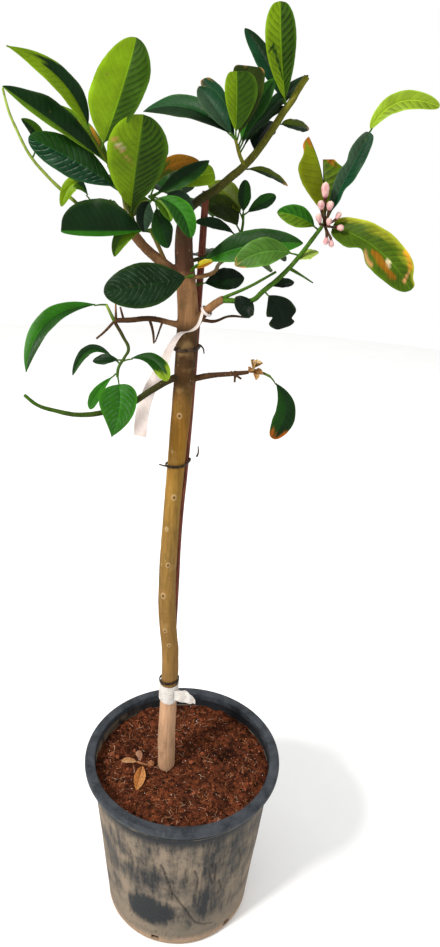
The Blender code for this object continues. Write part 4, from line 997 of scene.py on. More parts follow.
pot = {
    "segments": 300,
    "wallRows": 74,
    "foot": (100.0, 0.0),
    "footRounding": 7.0,
    "bandFoot": (119.0, 227.0),
    "rim": [(120.9, 227.8), (121.5, 231.0), (121.5, 240.0), (124.6, 240.4), (128.0, 241.0), (129.3, 241.7),
            (129.8, 243.0), (130.0, 245.0), (129.9, 247.0), (129.4, 248.4), (128.5, 249.4), (127.3, 249.9),
            (126.0, 250.0), (122.8, 250.1), (119.5, 250.0), (118.1, 249.7), (117.1, 249.1), (116.5, 247.6)],
    "wall": 2.5,
    "floor": 4.0,
    "notchCount": 6,
    "notchTurn": -106.0,
    "notchSize": (11.0, 9.0),
    "notchLevel": 12.5,
    # each crease: places along it as (turn in degrees, height), then depth and half width
    "creases": [
        ([(-101, 174), (-99.3, 166), (-97.3, 150), (-94.8, 133), (-93.5, 118), (-93.2, 104)], 1.0, 1.3),
        ([(-92.3, 118), (-88.2, 100), (-82.9, 80), (-79.5, 64), (-74.7, 48)], 0.9, 1.2),
        ([(-84.6, 172), (-85, 160), (-83.9, 142)], 0.7, 1.2),
        ([(-79.2, 164), (-77.1, 148), (-76.7, 130), (-77.6, 112), (-77.7, 97)], 0.7, 1.2),
        ([(-68.1, 171), (-69.2, 160), (-68.2, 144), (-66.1, 128)], 0.9, 1.3),
        ([(-65.6, 168), (-64.4, 155), (-64.4, 143), (-65.4, 128)], 0.8, 1.2),
        ([(-61, 130), (-58.8, 112), (-60.4, 98)], 0.7, 1.2),
        ([(-47.4, 173), (-43.9, 149), (-43.9, 134)], 0.7, 1.3),
        ([(-146.8, 147), (-145.6, 126), (-146.4, 107)], 0.5, 1.3),
        ([(-122.7, 184), (-121.9, 168), (-121.4, 155)], 0.5, 1.3),
        ([(-74.8, 50), (-68.9, 41), (-61.6, 36)], 0.6, 1.3),
        ([(-65.6, 114), (-64.8, 85), (-62.8, 57)], 0.4, 1.6),
        ([(152, 178), (150, 150), (153, 118)], 0.8, 1.3),
        ([(118, 150), (124, 118), (122, 84)], 0.7, 1.3),
        ([(70, 190), (67, 150), (71, 120), (69, 96)], 0.8, 1.3),
        ([(22, 160), (26, 120), (20, 84)], 0.7, 1.3),
        ([(-12, 182), (-9, 150), (-14, 112)], 0.7, 1.3),
    ],
}


def paintPot(start):
    place = placeOf(start)
    x, y, z = axesOf(place)
    crease = attribute(start, "crease", "Fac")
    streaks = place.grain(7, 4, 0.62, stretch=(1.0, 1.0, 0.13))
    drips = place.grain(26, 3, 0.6, stretch=(1.0, 1.0, 0.16), shift=2.0)
    patches = place.grain(52, 4, 0.6, shift=5.0)
    crackle = place.grain(2.6, 3, 0.7, stretch=(1.0, 1.0, 0.35), shift=1.0)
    grit = place.grain(1.5, 2, 0.6)
    plastic = grit.rise(0.3, 0.7).blend(flat((30, 32, 35)), flat((46, 49, 53)))

    # dust: thick low down, streaked on the wall, none where water ran
    wall = z.rise(0.222, 0.206)
    dust = streaks * 0.55 + drips * 0.55 + patches * 0.75 + crackle * 0.35
    dark = place.node("ShaderNodeVectorMath", {"operation": "DISTANCE"}, {0: place, 1: (-0.036, -0.096, 0.068)}, 1)
    darkHigh = place.node("ShaderNodeVectorMath", {"operation": "DISTANCE"}, {0: place, 1: (-0.072, -0.08, 0.16)}, 1)
    stain = dark.rise(0.044, 0.014) * 0.34 + darkHigh.rise(0.05, 0.015) * 0.14
    dust = (dust - stain + z.rise(0.09, 0.01, 0.0, 0.28)).rise(0.86, 1.22) * wall
    dustTone = patches.rise(0.3, 0.7).blend(flat((134, 124, 110)), flat((168, 150, 130)))
    colour = (dust * 0.86).blend(plastic, dustTone)
    cracked = crackle.rise(0.56, 0.70) * wall * 0.6
    colour = cracked.blend(colour, flat((40, 38, 36)))

    # the foot is caked with dry mud
    mud = (z + patches * 0.022 + streaks * 0.014).rise(0.040, 0.026)
    mudTone = grit.rise(0.3, 0.7).blend(flat((166, 138, 112)), flat((204, 174, 146)))
    colour = (mud * 0.9).blend(colour, mudTone)

    # under the rim: smooth dark band, with dusty patches and a pale line at its foot
    band = z.rise(0.2225, 0.2275) * z.rise(0.2412, 0.2395)
    bandDust = (patches + drips * 0.8).rise(0.86, 1.06) * (x + y * 0.6).rise(0.03, -0.05)
    colour = (band * bandDust * 0.75).blend(colour, flat((140, 124, 104)))
    line = z.rise(0.2262, 0.2272) * z.rise(0.2290, 0.2280) * patches.rise(0.42, 0.55)
    colour = (line * 0.6).blend(colour, flat((170, 158, 138)))

    # rim: matt blue-grey with light scuffs
    rim = z.rise(0.2400, 0.2415)
    rimTone = place.grain(18, 4, 0.65).rise(0.3, 0.7).blend(flat((44, 48, 53)), flat((72, 77, 83)))
    scuffs = place.grain(4.5, 3, 0.7, stretch=(1.0, 1.0, 0.4), shift=7.0).rise(0.60, 0.72)
    rimTone = (scuffs * 0.35).blend(rimTone, flat((120, 118, 112)))
    colour = rim.blend(colour, rimTone)
    # painted shade: the crease grooves go near black, darker than the plastic itself
    colour = (crease * 0.85).blend(colour, flat((20, 20, 21)))
    rough = (dust + mud).maths("MINIMUM", dust + mud, 1.0).rise(0, 1, 0.55, 0.9)
    height = crackle * 0.5 + streaks * 0.5 + grit * 0.35
    return {"Base Color": colour, "Roughness": rough, "Normal": height.bump(0.5, 0.7)}


potMaterial = makeMaterial("dustyPlastic", paintPot, Specular_IOR_Level=0.12)


def drawLine(points):
    # extrudes one point into a line of (distance from the axis, height), left open in edit mode
    deselectAll()
    bpy.ops.mesh.primitive_plane_add(size=0.001)
    line = bpy.context.object
    bpy.ops.object.mode_set(mode="EDIT")
    bpy.ops.mesh.merge(type="CENTER")
    bpy.ops.transform.translate(value=Vector((points[0][0], 0, points[0][1])) * mm)
    for before, after in zip(points, points[1:]):
        step = Vector((after[0] - before[0], 0, after[1] - before[1])) * mm
        bpy.ops.mesh.extrude_region_move(TRANSFORM_OT_translate={"value": step})
    return line


def spinLine(points, segments, name):
    # turns the line round the pot's axis into a closed body
    made = drawLine(points)
    bpy.ops.mesh.select_all(action="SELECT")
    bpy.ops.mesh.spin(steps=segments, angle=math.tau, center=(0, 0, 0), axis=(0, 0, 1))
    bpy.ops.mesh.select_all(action="SELECT")
    bpy.ops.mesh.remove_doubles(threshold=2e-6)
    bpy.ops.mesh.normals_make_consistent(inside=False)
    bpy.ops.object.mode_set(mode="OBJECT")
    return settle(made, name)


def wallInside(height):
    # distance from the axis to the inner face of the wall
    share = height / pot["bandFoot"][1]
    return pot["foot"][0] + (pot["bandFoot"][0] - pot["foot"][0]) * min(share, 1.0) - pot["wall"]


def potLine():
    low, high = pot["foot"][0], pot["bandFoot"][0]
    bend = pot["footRounding"]
    line = [(0, 0), (60, 0), (low - bend, 0)]
    for step in range(1, 6):
        turn = math.pi / 2 * step / 6
        line.append((low - bend + bend * math.sin(turn), bend - bend * math.cos(turn)))
    for row in range(pot["wallRows"] + 1):
        height = bend + (227.0 - bend) * row / pot["wallRows"]
        line.append((low + (high - low) * height / 227.0, height))
    line += pot["rim"]
    line += [(116.5, 240), (wallInside(227), 227)]
    for height in (200, 170, 140, 110, 80, 50, 25, 12):
        line.append((wallInside(height), height))
    line += [(wallInside(8) - 1.5, 6.0), (wallInside(4) - 5, pot["floor"]), (50, pot["floor"]), (0, pot["floor"])]
    return line


def creaseDepth(turn, height, radius):
    # how deep the creases go at each point of the wall, and how dark their painted shade is
    depth = np.zeros(len(turn))
    creaseShadeMask = np.zeros(len(turn))
    for stops, deep, half in pot["creases"]:
        best = np.full(len(turn), 1e9)
        for (turnA, heightA), (turnB, heightB) in zip(stops, stops[1:]):
            across = np.radians((turn - turnA + 180) % 360 - 180) * radius
            wayAcross = math.radians(turnB - turnA) * 110
            wayUp = heightB - heightA
            part = np.clip((across * wayAcross + (height - heightA) * wayUp) / (wayAcross ** 2 + wayUp ** 2), 0, 1)
            best = np.minimum(best, np.hypot(across - part * wayAcross, height - heightA - part * wayUp))
        groove = np.exp(-(best / half) ** 2)
        depth += deep * groove - 0.35 * deep * np.exp(-((best - 2.6 * half) / (1.2 * half)) ** 2)
        creaseShadeMask = np.maximum(creaseShadeMask, groove * min(1.0, deep + 0.2))
    return depth, creaseShadeMask


def makePot():
    made = spinLine(potLine(), pot["segments"], "pot.fine")
    cutters = []
    for index in range(pot["notchCount"]):
        turn = math.radians(pot["notchTurn"] + 360 / pot["notchCount"] * index)
        deselectAll()
        bpy.ops.mesh.primitive_cube_add(size=1, rotation=(0, 0, turn),
                                        location=(math.cos(turn) * 0.098, math.sin(turn) * 0.098, pot["notchLevel"] * mm))
        cutter = bpy.context.object
        cutter.scale = (0.03, pot["notchSize"][0] * mm, pot["notchSize"][1] * mm)
        settle(cutter)
        bpy.ops.object.mode_set(mode="EDIT")
        bpy.ops.mesh.select_all(action="SELECT")
        bpy.ops.mesh.bevel(offset=0.0012, segments=2, affect="EDGES")
        bpy.ops.object.mode_set(mode="OBJECT")
        cutters.append(cutter)
    cutter = joined(cutters, "notchCutter")
    applyModifier(made, "BOOLEAN", operation="DIFFERENCE", object=cutter, solver="MANIFOLD")
    bpy.data.objects.remove(cutter)

    points = pointsOf(made) / mm
    turn = np.degrees(np.arctan2(points[:, 1], points[:, 0]))
    radius = np.hypot(points[:, 0], points[:, 1])
    calm = np.clip((points[:, 2] - 3) / 8, 0, 1) * np.clip((224 - points[:, 2]) / 10, 0, 1)
    calm = calm * np.clip((radius - 90) / 8, 0, 1)
    depth, creaseShadeMask = creaseDepth(turn, points[:, 2], 110)
    ring = np.column_stack([points[:, 0] / radius.clip(1) * 110, points[:, 1] / radius.clip(1) * 110, points[:, 2]])
    dents = 0.75 * roughness(ring * mm, 62, 1) + 0.35 * roughness(ring * [mm, mm, mm * 0.3], 17, 2)
    move = (dents - 0.55 - depth) * calm
    rimWave = 0.25 * roughness(ring * mm, 90, 4) * np.clip((points[:, 2] - 228) / 8, 0, 1)
    points[:, :2] += points[:, :2] / radius.clip(1)[:, None] * (move + rimWave - 0.25)[:, None]
    movePoints(made, points * mm)
    layer = made.data.attributes.new("crease", "FLOAT", "POINT")
    layer.data.foreach_set("value", creaseShadeMask * calm)
    made.data.materials.clear()
    made.data.materials.append(potMaterial)
    smooth(made, 35)
    dressed(made, "pot")


makePot()
print("pot done")


soil = {
    "level": 229.0,
    "rings": 84,
    "segments": 400,
    "crumbs": 900,
    "fibres": 620,
    "clods": 130,
    "specks": 90,
}


def paintSoil(start):
    place = placeOf(start)
    x, y, z = axesOf(place)
    patches = place.grain(34, 4, 0.6, shift=3.0)
    clumps = place.grain(7, 4, 0.65)
    fibre = place.grain(2.2, 3, 0.75)
    crumbs = place.cells(2.4)
    red = clumps.rise(0.35, 0.68).blend(flat((56, 30, 20)), flat((126, 66, 40)))
    light = fibre.rise(0.50, 0.68) * clumps.rise(0.38, 0.6)
    red = (light * 0.75).blend(red, flat((182, 104, 66)))
    dim = patches.rise(0.42, 0.62)
    red = (dim * 0.45).blend(red, flat((48, 27, 20)))
    # painted shade: the lowest parts of the soil surface go nearly black
    deep = (z + clumps * 0.002).rise(0.2285, 0.2235)
    red = (deep * 0.72).blend(red, flat((24, 14, 11)))
    # painted shade in the gaps between crumbs
    gapShade = crumbs.rise(0.35, 0.75) * fibre.rise(0.5, 0.34)
    red = (gapShade * 0.8).blend(red, flat((22, 13, 10)))
    return {"Base Color": red, "Roughness": fibre.rise(0.2, 0.8, 0.85, 0.98),
            "Normal": (fibre * 0.8 + clumps * 0.6 - crumbs * 0.5).bump(1.6, 0.9)}


def paintBits(start):
    # crumbs, fibres and specks carry their own tones
    place = placeOf(start)
    tone = attribute(start, "tone")
    grit = place.grain(0.9, 3, 0.7)
    return {"Base Color": tone.brighter(grit.rise(0.25, 0.75, 0.7, 1.25)),
            "Roughness": grit.rise(0.2, 0.8, 0.75, 0.95), "Normal": grit.bump(0.4)}


soilMaterial = makeMaterial("reddishPeat", paintSoil, Specular_IOR_Level=0.03)
bitsMaterial = makeMaterial("peatBits", paintBits, Specular_IOR_Level=0.05)


def soilHeight(x, y):
    lumps = np.sin(x * 0.11 + 1.3) * np.cos(y * 0.13) + 0.6 * np.sin(x * 0.23 - y * 0.17)
    lumps = lumps + 0.5 * np.cos(x * 0.31 + y * 0.27)
    hollow = np.exp(-((x - 52) ** 2 + (y - 24) ** 2) / 500) + np.exp(-((x + 62) ** 2 + (y - 26) ** 2) / 420)
    hollow = hollow + 0.9 * np.exp(-((x + 26) ** 2 + (y + 15) ** 2) / 70)
    calm = np.exp(-((x + 55) ** 2 + (y + 20) ** 2) / 1500)
    return soil["level"] + (2.0 * lumps - 6.5 * hollow) * (1 - 0.8 * calm)


def makeSoil():
    edge = wallInside(227) - 0.5
    line = [(0, 4.4), (wallInside(4) - 6, 4.4), (wallInside(12) - 0.6, 11), (wallInside(120) - 0.5, 120),
            (wallInside(216) - 0.5, 216), (edge, soil["level"] - 3)]
    line += [(edge * (k / soil["rings"]), soil["level"]) for k in range(soil["rings"], -1, -1)]
    made = spinLine(line, soil["segments"], "soil.fine")
    points = pointsOf(made) / mm
    top = points[:, 2] > soil["level"] - 0.5
    x, y = points[top, 0], points[top, 1]
    height = soilHeight(x, y)
    spots = np.column_stack([x, y, np.zeros(len(x))]) * mm
    height = height + 1.0 * roughness(spots, 13, 1) + 1.1 * np.abs(roughness(spots, 5.5, 2))
    height = height + 0.85 * roughness(spots, 2.4, 3)
    gone = np.hypot(x, y)
    height = height - np.clip((gone - 105) / 8, 0, 1) * 1.0
    points[top, 2] = np.minimum(height, 236)
    inner = top & (np.hypot(points[:, 0], points[:, 1]) < edge - 3)
    points[inner, 0] += 0.5 * roughness(points[inner] * mm, 3, 5)
    points[inner, 1] += 0.5 * roughness(points[inner] * mm, 3, 6)
    movePoints(made, points * mm)
    made.data.materials.append(soilMaterial)
    smooth(made, 70)
    dressed(made, "soil")


def scattered(masters, placings, colours, name, material):
    # many copies of small masters in one mesh, each with its own place and tone
    allPoints, allFaces, allColours = [], [], []
    count = 0
    for index, (placing, colour) in enumerate(zip(placings, colours)):
        master = masters[index % len(masters)]
        points = pointsOf(master)
        turned = points @ np.array(placing.to_3x3()).T + np.array(placing.translation)
        allPoints.append(turned)
        allFaces += [tuple(corner + count for corner in face.vertices) for face in master.data.polygons]
        allColours.append(np.tile(tuple(colour) + (1.0,), (len(points), 1)))
        count += len(points)
    mesh = bpy.data.meshes.new(name)
    mesh.from_pydata(np.concatenate(allPoints).tolist(), [], allFaces)
    made = bpy.data.objects.new(name, mesh)
    scene.collection.objects.link(made)
    writeColours(made, "tone", np.concatenate(allColours))
    mesh.materials.append(material)
    smooth(made, 60)
    return made


def crumbMaster(divisions, seed):
    deselectAll()
    bpy.ops.mesh.primitive_ico_sphere_add(subdivisions=divisions, radius=1.0)
    made = bpy.context.object
    points = pointsOf(made)
    movePoints(made, points * (1 + 0.55 * roughness(points * 0.001, 1.3, seed))[:, None])
    return made


def fibreMaster(bend, seed):
    turnDice = random.Random(seed)
    route = [(0, 0, 0)]
    heading = 0.0
    for step in range(4):
        heading += turnDice.uniform(-bend, bend)
        route.append((route[-1][0] + 0.25 * math.cos(heading), route[-1][1] + 0.25 * math.sin(heading),
                      turnDice.uniform(-0.05, 0.07)))
    route = [(x * 1000, y * 1000, z * 1000) for x, y, z in route]
    made = tubeCurve(route, [18, 22, 20, 18, 10], 0)
    return made


def soilSpot(limit=112.0):
    turn = dice.uniform(0, math.tau)
    gone = limit * math.sqrt(dice.random())
    return gone * math.cos(turn), gone * math.sin(turn)


def loose(x, y, lift, size, tilt=math.pi):
    turn = Matrix.Rotation(dice.uniform(0, math.tau), 4, "Z") @ Matrix.Rotation(dice.uniform(-tilt, tilt), 4, "X")
    height = float(soilHeight(np.array(x), np.array(y)))
    scale = Matrix.Diagonal([value * mm for value in size] + [1.0])
    return Matrix.Translation((x * mm, y * mm, (height + lift) * mm)) @ turn @ scale


def clearOfStems(x, y):
    return math.hypot(x + 22, y) > 13 and math.hypot(x + 22, y - 18) > 6


def scatterBits():
    crumbMasters = [crumbMaster(1, seed) for seed in range(3)]
    clodMasters = [crumbMaster(2, seed + 10) for seed in range(3)]
    fibreMasters = [fibreMaster(0.9, seed) for seed in range(5)]
    peat = [(70, 38, 24), (112, 60, 38), (150, 84, 54), (46, 26, 18), (92, 50, 32), (176, 104, 68)]
    straw = [(168, 100, 62), (196, 130, 84), (134, 76, 46), (212, 158, 112), (110, 62, 40), (232, 196, 164)]
    spots = []
    while len(spots) < soil["crumbs"]:
        spot = soilSpot()
        if clearOfStems(*spot):
            spots.append(spot)
    placings = [loose(x, y, dice.uniform(0.2, 1.4), [dice.uniform(0.5, 1.7) for _ in range(3)]) for x, y in spots]
    colours = [np.array(linear(dice.choice(peat))) * brightness for _ in spots]
    crumbs = scattered(crumbMasters, placings, colours, "soilCrumbs", bitsMaterial)
    spots = [spot for spot in (soilSpot(106) for _ in range(soil["clods"])) if clearOfStems(*spot)]
    placings = [loose(x, y, dice.uniform(-0.6, 1.0), [dice.uniform(1.6, 3.6), dice.uniform(1.4, 2.8),
                                                     dice.uniform(0.9, 1.9)], 0.4) for x, y in spots]
    colours = [np.array(linear(dice.choice(peat[:5]))) * brightness for _ in spots]
    clods = scattered(clodMasters, placings, colours, "soilClods", bitsMaterial)
    spots = [spot for spot in (soilSpot(104) for _ in range(soil["fibres"])) if clearOfStems(*spot)]
    placings = [loose(x, y, dice.uniform(0.9, 2.4), [dice.uniform(4, 11), dice.uniform(4, 11), 5.0], 0.35)
                for x, y in spots]
    colours = [np.array(linear(dice.choice(straw))) * brightness for _ in spots]
    fibres = scattered(fibreMasters, placings, colours, "soilFibres", bitsMaterial)
    spots = [spot for spot in (soilSpot(110) for _ in range(soil["specks"])) if clearOfStems(*spot)]
    placings = [loose(x, y, dice.uniform(1.4, 2.3), [dice.uniform(0.4, 1.1), dice.uniform(0.4, 0.9), 0.4])
                for x, y in spots]
    colours = [np.array(linear(dice.choice([(232, 214, 206), (214, 188, 172), (226, 160, 138)]))) * brightness
               for _ in spots]
    specks = scattered(crumbMasters, placings, colours, "soilSpecks", bitsMaterial)
    for piece in (crumbs, clods, fibres, specks):
        dressed(piece)
    for master in crumbMasters + clodMasters + fibreMasters:
        bpy.data.objects.remove(master)


makeSoil()
scatterBits()
print("soil done")


trunk = {
    "route": [(-22, 0, 139), (-22, 0, 228), (-22.5, 0, 279), (-21.5, 0, 340), (-21, 0, 419), (-24, 0, 449),
              (-26.5, 0, 486), (-27, 0, 520), (-26, 0, 563), (-23, 0, 628), (-20, 0, 684), (-16, 0, 748),
              (-14, 0, 802), (-13, 0, 835), (-16, 0, 872), (-19.5, 0, 907), (-18, 0, 932), (-15, 0, 944)],
    "radii": [11, 11.4, 11.4, 10.6, 10.4, 10.6, 10.6, 10.2, 9.8, 9.6, 9.9, 10.5, 10.8, 10.8, 10, 9, 7.5, 5],
    "branches": [
        ([(-16, -2, 872), (-31, -6, 884), (-43, -9, 893), (-56, -12, 904), (-66, -14, 916)], (6.0, 4.4)),
        ([(-40, -5, 891), (-58, -4, 903), (-75, 0, 922), (-89, 4, 941)], (4.2, 3.4)),
        ([(-13, -1, 814), (-6, -4, 829), (4, -9, 844), (14, -13, 854), (22, -16, 860)], (5.0, 4.0)),
        ([(-14, 0, 826), (-30, -6, 831), (-50, -13, 836), (-70, -19, 835), (-86, -24, 835)], (3.4, 2.6)),
        ([(-15, 0, 768), (7, 6, 773), (18, 9, 774), (39, 14, 775), (54, 18, 776)], (3.8, 2.4)),
    ],
    "stubs": [
        ([(-84, -24, 835), (-94, -26, 824), (-102, -28, 817)], (1.5, 1.0)),
        ([(-83, -24, 836), (-83, -26, 852)], (1.4, 0.8)),
        ([(-76, -21, 836), (-79, -22, 848)], (1.3, 0.8)),
        ([(-51, -13, 836), (-47, -16, 823), (-46, -17, 812)], (1.6, 0.9)),
        ([(-38, -9, 833), (-45, -12, 812)], (1.4, 0.8)),
        ([(39, 14, 778), (39, 12, 766)], (1.5, 1.1)),
        ([(34, 13, 777), (46, 12, 770)], (1.6, 1.1)),
        ([(2, -8, 836), (14, -3, 834), (28, 0, 839), (47, 4, 838)], (1.7, 1.0)),
    ],
    # place, size and height of each knot
    "knots": [((-26.2, -10, 691), 2.2, 0.9), ((-21.5, -10, 636), 2.6, 0.9), ((-29.5, -10, 595), 2.4, 1.0),
              ((-26.2, -10, 548), 2.2, 0.9), ((-31.2, -10, 505), 2.8, 1.2), ((-27.7, -10, 455), 2.0, 0.8),
              ((-22.4, -10, 434), 1.8, 0.6), ((-18.2, -10, 733), 2.2, 0.9), ((-14, 10, 600), 2.6, 1.0),
              ((-32, 8, 660), 2.2, 0.9), ((-16, 10, 480), 2.4, 0.9)],
    # tones by height
    "tones": [(0, (200, 156, 122)), (342, (208, 164, 128)), (346, (128, 96, 58)), (362, (150, 114, 66)),
              (460, (146, 110, 58)), (560, (156, 120, 62)), (640, (160, 122, 56)), (700, (156, 112, 42)),
              (745, (140, 98, 42)), (765, (92, 64, 34)), (800, (66, 46, 28)), (824, (96, 70, 44)),
              (836, (184, 136, 92)), (868, (178, 130, 88)), (884, (92, 62, 44)), (944, (60, 44, 32))],
    "voxel": 1.1,
}


def paintBark(start):
    place = placeOf(start)
    tone = attribute(start, "tone")
    knot = attribute(start, "tone", "Alpha")
    streaks = place.grain(2.6, 4, 0.65, stretch=(1.0, 1.0, 0.09))
    broad = place.grain(13, 3, 0.6, stretch=(1.0, 1.0, 0.22), shift=2.0)
    blotch = place.grain(22, 4, 0.6, shift=6.0)
    fleck = place.cells(3.4, stretch=(1.0, 1.0, 0.4)).rise(0.22, 0.10) * place.grain(9, 2, shift=9.0).rise(0.5, 0.6)
    shade = streaks.rise(0.25, 0.75, 0.80, 1.18) * broad.rise(0.3, 0.7, 0.88, 1.10)
    colour = tone.brighter(shade)
    colour = (blotch.rise(0.55, 0.70) * 0.35).blend(colour, flat((96, 84, 44)))
    colour = (place.grain(34, 3, shift=12.0).rise(0.56, 0.70) * 0.30).blend(colour, flat((196, 158, 104)))
    colour = (fleck * 0.5).blend(colour, flat((196, 172, 128)))
    crack = streaks.rise(0.36, 0.24)
    colour = (crack * 0.45).blend(colour, flat((54, 38, 24)))
    ring = knot.rise(0.05, 0.35) * knot.rise(0.75, 0.5)
    colour = (ring * 0.55).blend(colour, flat((206, 176, 130)))
    colour = (knot.rise(0.6, 0.85) * 0.8).blend(colour, flat((92, 56, 32)))
    return {"Base Color": colour, "Roughness": broad.rise(0.2, 0.8, 0.62, 0.82),
            "Normal": (streaks * 0.8 + fleck * 0.3 + broad * 0.4).bump(0.6, 0.8)}


barkMaterial = makeMaterial("citronBark", paintBark, Specular_IOR_Level=0.06)


def toneAt(heights):
    stops = [height for height, _ in trunk["tones"]]
    channels = np.array([linear(tone) for _, tone in trunk["tones"]])
    return np.column_stack([np.interp(heights, stops, channels[:, k]) for k in range(3)])


def makeTrunk():
    pieces = [tubeCurve(trunk["route"], trunk["radii"], 6)]
    for route, ends in trunk["branches"]:
        count = len(route) - 1
        radii = [ends[0] + (ends[1] - ends[0]) * k / count for k in range(count + 1)]
        pieces.append(tubeCurve(route, radii, 4))
    made = joined(pieces, "trunk.fine")
    applyModifier(made, "REMESH", mode="VOXEL", voxel_size=trunk["voxel"] * mm)
    applyModifier(made, "SMOOTH", factor=0.5, iterations=6)
    for route, ends in trunk["stubs"]:
        radii = [ends[0] + (ends[1] - ends[0]) * k / (len(route) - 1) for k in range(len(route))]
        made = joined([made, tubeCurve(route, radii, 2)], "trunk.fine")
    points = pointsOf(made)
    normals = normalsOf(made)
    tall = points * [1.0, 1.0, 0.13]
    rise = 0.30 * roughness(tall, 2.6, 1) + 0.45 * roughness(points * [1.0, 1.0, 0.4], 16, 2)
    rise = rise + 0.15 * roughness(points, 1.8, 3)
    offAxis = np.hypot(points[:, 0] / mm + 19, points[:, 1] / mm)
    thin = np.clip((offAxis - 22) / 20, 0, 1)
    rise = rise * (1 - 0.55 * thin)
    knotMask = np.zeros(len(points))
    for place, size, height in trunk["knots"]:
        gap = np.linalg.norm((points / mm - place) * [1, 1, 0.8], axis=1)
        rise = rise + height * np.exp(-(gap / size) ** 2) - 0.9 * height * np.exp(-(gap / (0.4 * size)) ** 2)
        knotMask = np.maximum(knotMask, np.exp(-(gap / size) ** 2))
    movePoints(made, points + normals * (rise * mm)[:, None])
    colours = toneAt(points[:, 2] / mm)
    branchTone = np.array(linear((150, 108, 72)))
    lowTone = np.array(linear((84, 58, 38)))
    low = np.clip((848 - points[:, 2] / mm) / 6, 0, 1)[:, None]
    side = np.clip((offAxis - 14) / 12, 0, 1)[:, None]
    colours = colours * (1 - side) + (branchTone * (1 - low) + lowTone * low) * side
    writeColours(made, "tone", np.column_stack([colours * brightness, knotMask]))
    made.data.materials.clear()
    made.data.materials.append(barkMaterial)
    smooth(made, 60)
    dressed(made, "trunk")


makeTrunk()
print("trunk done")


stake = {
    "route": [(-22, 18, 129), (-21.5, 17.5, 244), (-17, 16.5, 480), (-14.5, 16, 600), (-10.5, 16, 666),
              (-5, 16, 790), (-1, 16, 920), (0, 16, 956)],
    "radius": 3.7,
    "peeled": (684, 712),
}
tieSet = {
    # name: height, band height, band thickness
    "tie_top": (803, 3.4, 1.3),
    "tie_middle": (672, 3.0, 1.3),
    "tie_low": (373, 3.6, 1.4),
}
tape = {"foot": 343.0, "height": 25.5, "ribs": 10, "clear": 0.7, "thick": 1.3}


def routeAt(route, height):
    for low, high in zip(route, route[1:]):
        if low[2] <= height <= high[2]:
            return Vector(low).lerp(Vector(high), (height - low[2]) / (high[2] - low[2]))
    return Vector(route[-1])


def trunkRadius(height):
    return float(np.interp(height, [place[2] for place in trunk["route"]], trunk["radii"]))


def paintStake(start):
    place = placeOf(start)
    grainLines = place.grain(1.4, 4, 0.7, stretch=(1.0, 1.0, 0.05))
    blotch = place.grain(24, 3, stretch=(1.0, 1.0, 0.4))
    colour = grainLines.rise(0.3, 0.7).blend(flat((84, 44, 34)), flat((156, 92, 72)))
    colour = (blotch.rise(0.5, 0.7) * 0.6).blend(colour, flat((60, 36, 28)))
    return {"Base Color": colour, "Roughness": blotch.rise(0.2, 0.8, 0.6, 0.8),
            "Normal": grainLines.bump(0.35)}


def paintTie(start):
    place = placeOf(start)
    wear = place.grain(5, 3)
    return {"Base Color": wear.rise(0.35, 0.7).blend(flat((34, 26, 20)), flat((84, 64, 46))),
            "Roughness": wear.rise(0.2, 0.8, 0.5, 0.75), "Normal": place.grain(1.2, 3).bump(0.2)}


def paintTape(start):
    place = placeOf(start)
    x, y, z = axesOf(place)
    cloth = place.grain(0.9, 2, 0.6)
    dirt = place.grain(9, 4, 0.65)
    ribs = z.maths("SINE", (z + place.grain(14, 2) * 0.0012) * (math.tau / 0.0028))
    colour = dirt.rise(0.45, 0.75).blend(flat((240, 236, 230)), flat((206, 192, 178)))
    colour = (ribs.rise(0.1, -0.9) * 0.34).blend(colour, flat((172, 154, 142)))
    colour = (place.grain(4, 3, 0.7, shift=4.0).rise(0.62, 0.74) * 0.5).blend(colour, flat((150, 124, 104)))
    return {"Base Color": colour, "Roughness": dirt.rise(0.2, 0.8, 0.7, 0.85),
            "Normal": (cloth * 0.5 + ribs * 0.25).bump(0.35, 0.8)}


stakeMaterial = makeMaterial("stakeWood", paintStake, Specular_IOR_Level=0.05)
tieMaterial = makeMaterial("tieRubber", paintTie, Specular_IOR_Level=0.1)
tapeMaterial = makeMaterial("graftTape", paintTape, Specular_IOR_Level=0.1)


def makeStake():
    made = tubeCurve(stake["route"], [stake["radius"]] * len(stake["route"]), 5)
    applyModifier(made, "SUBSURF", levels=1, render_levels=1, subdivision_type="SIMPLE")
    points = pointsOf(made)
    rise = 0.14 * roughness(points * [1, 1, 0.06], 2.0, 1) + 0.15 * roughness(points * [1, 1, 0.3], 18, 2)
    movePoints(made, points + normalsOf(made) * ((rise - 0.12) * mm)[:, None])
    made.data.materials.append(stakeMaterial)
    smooth(settle(made, "stake.fine"), 60)
    dressed(made, "stake")


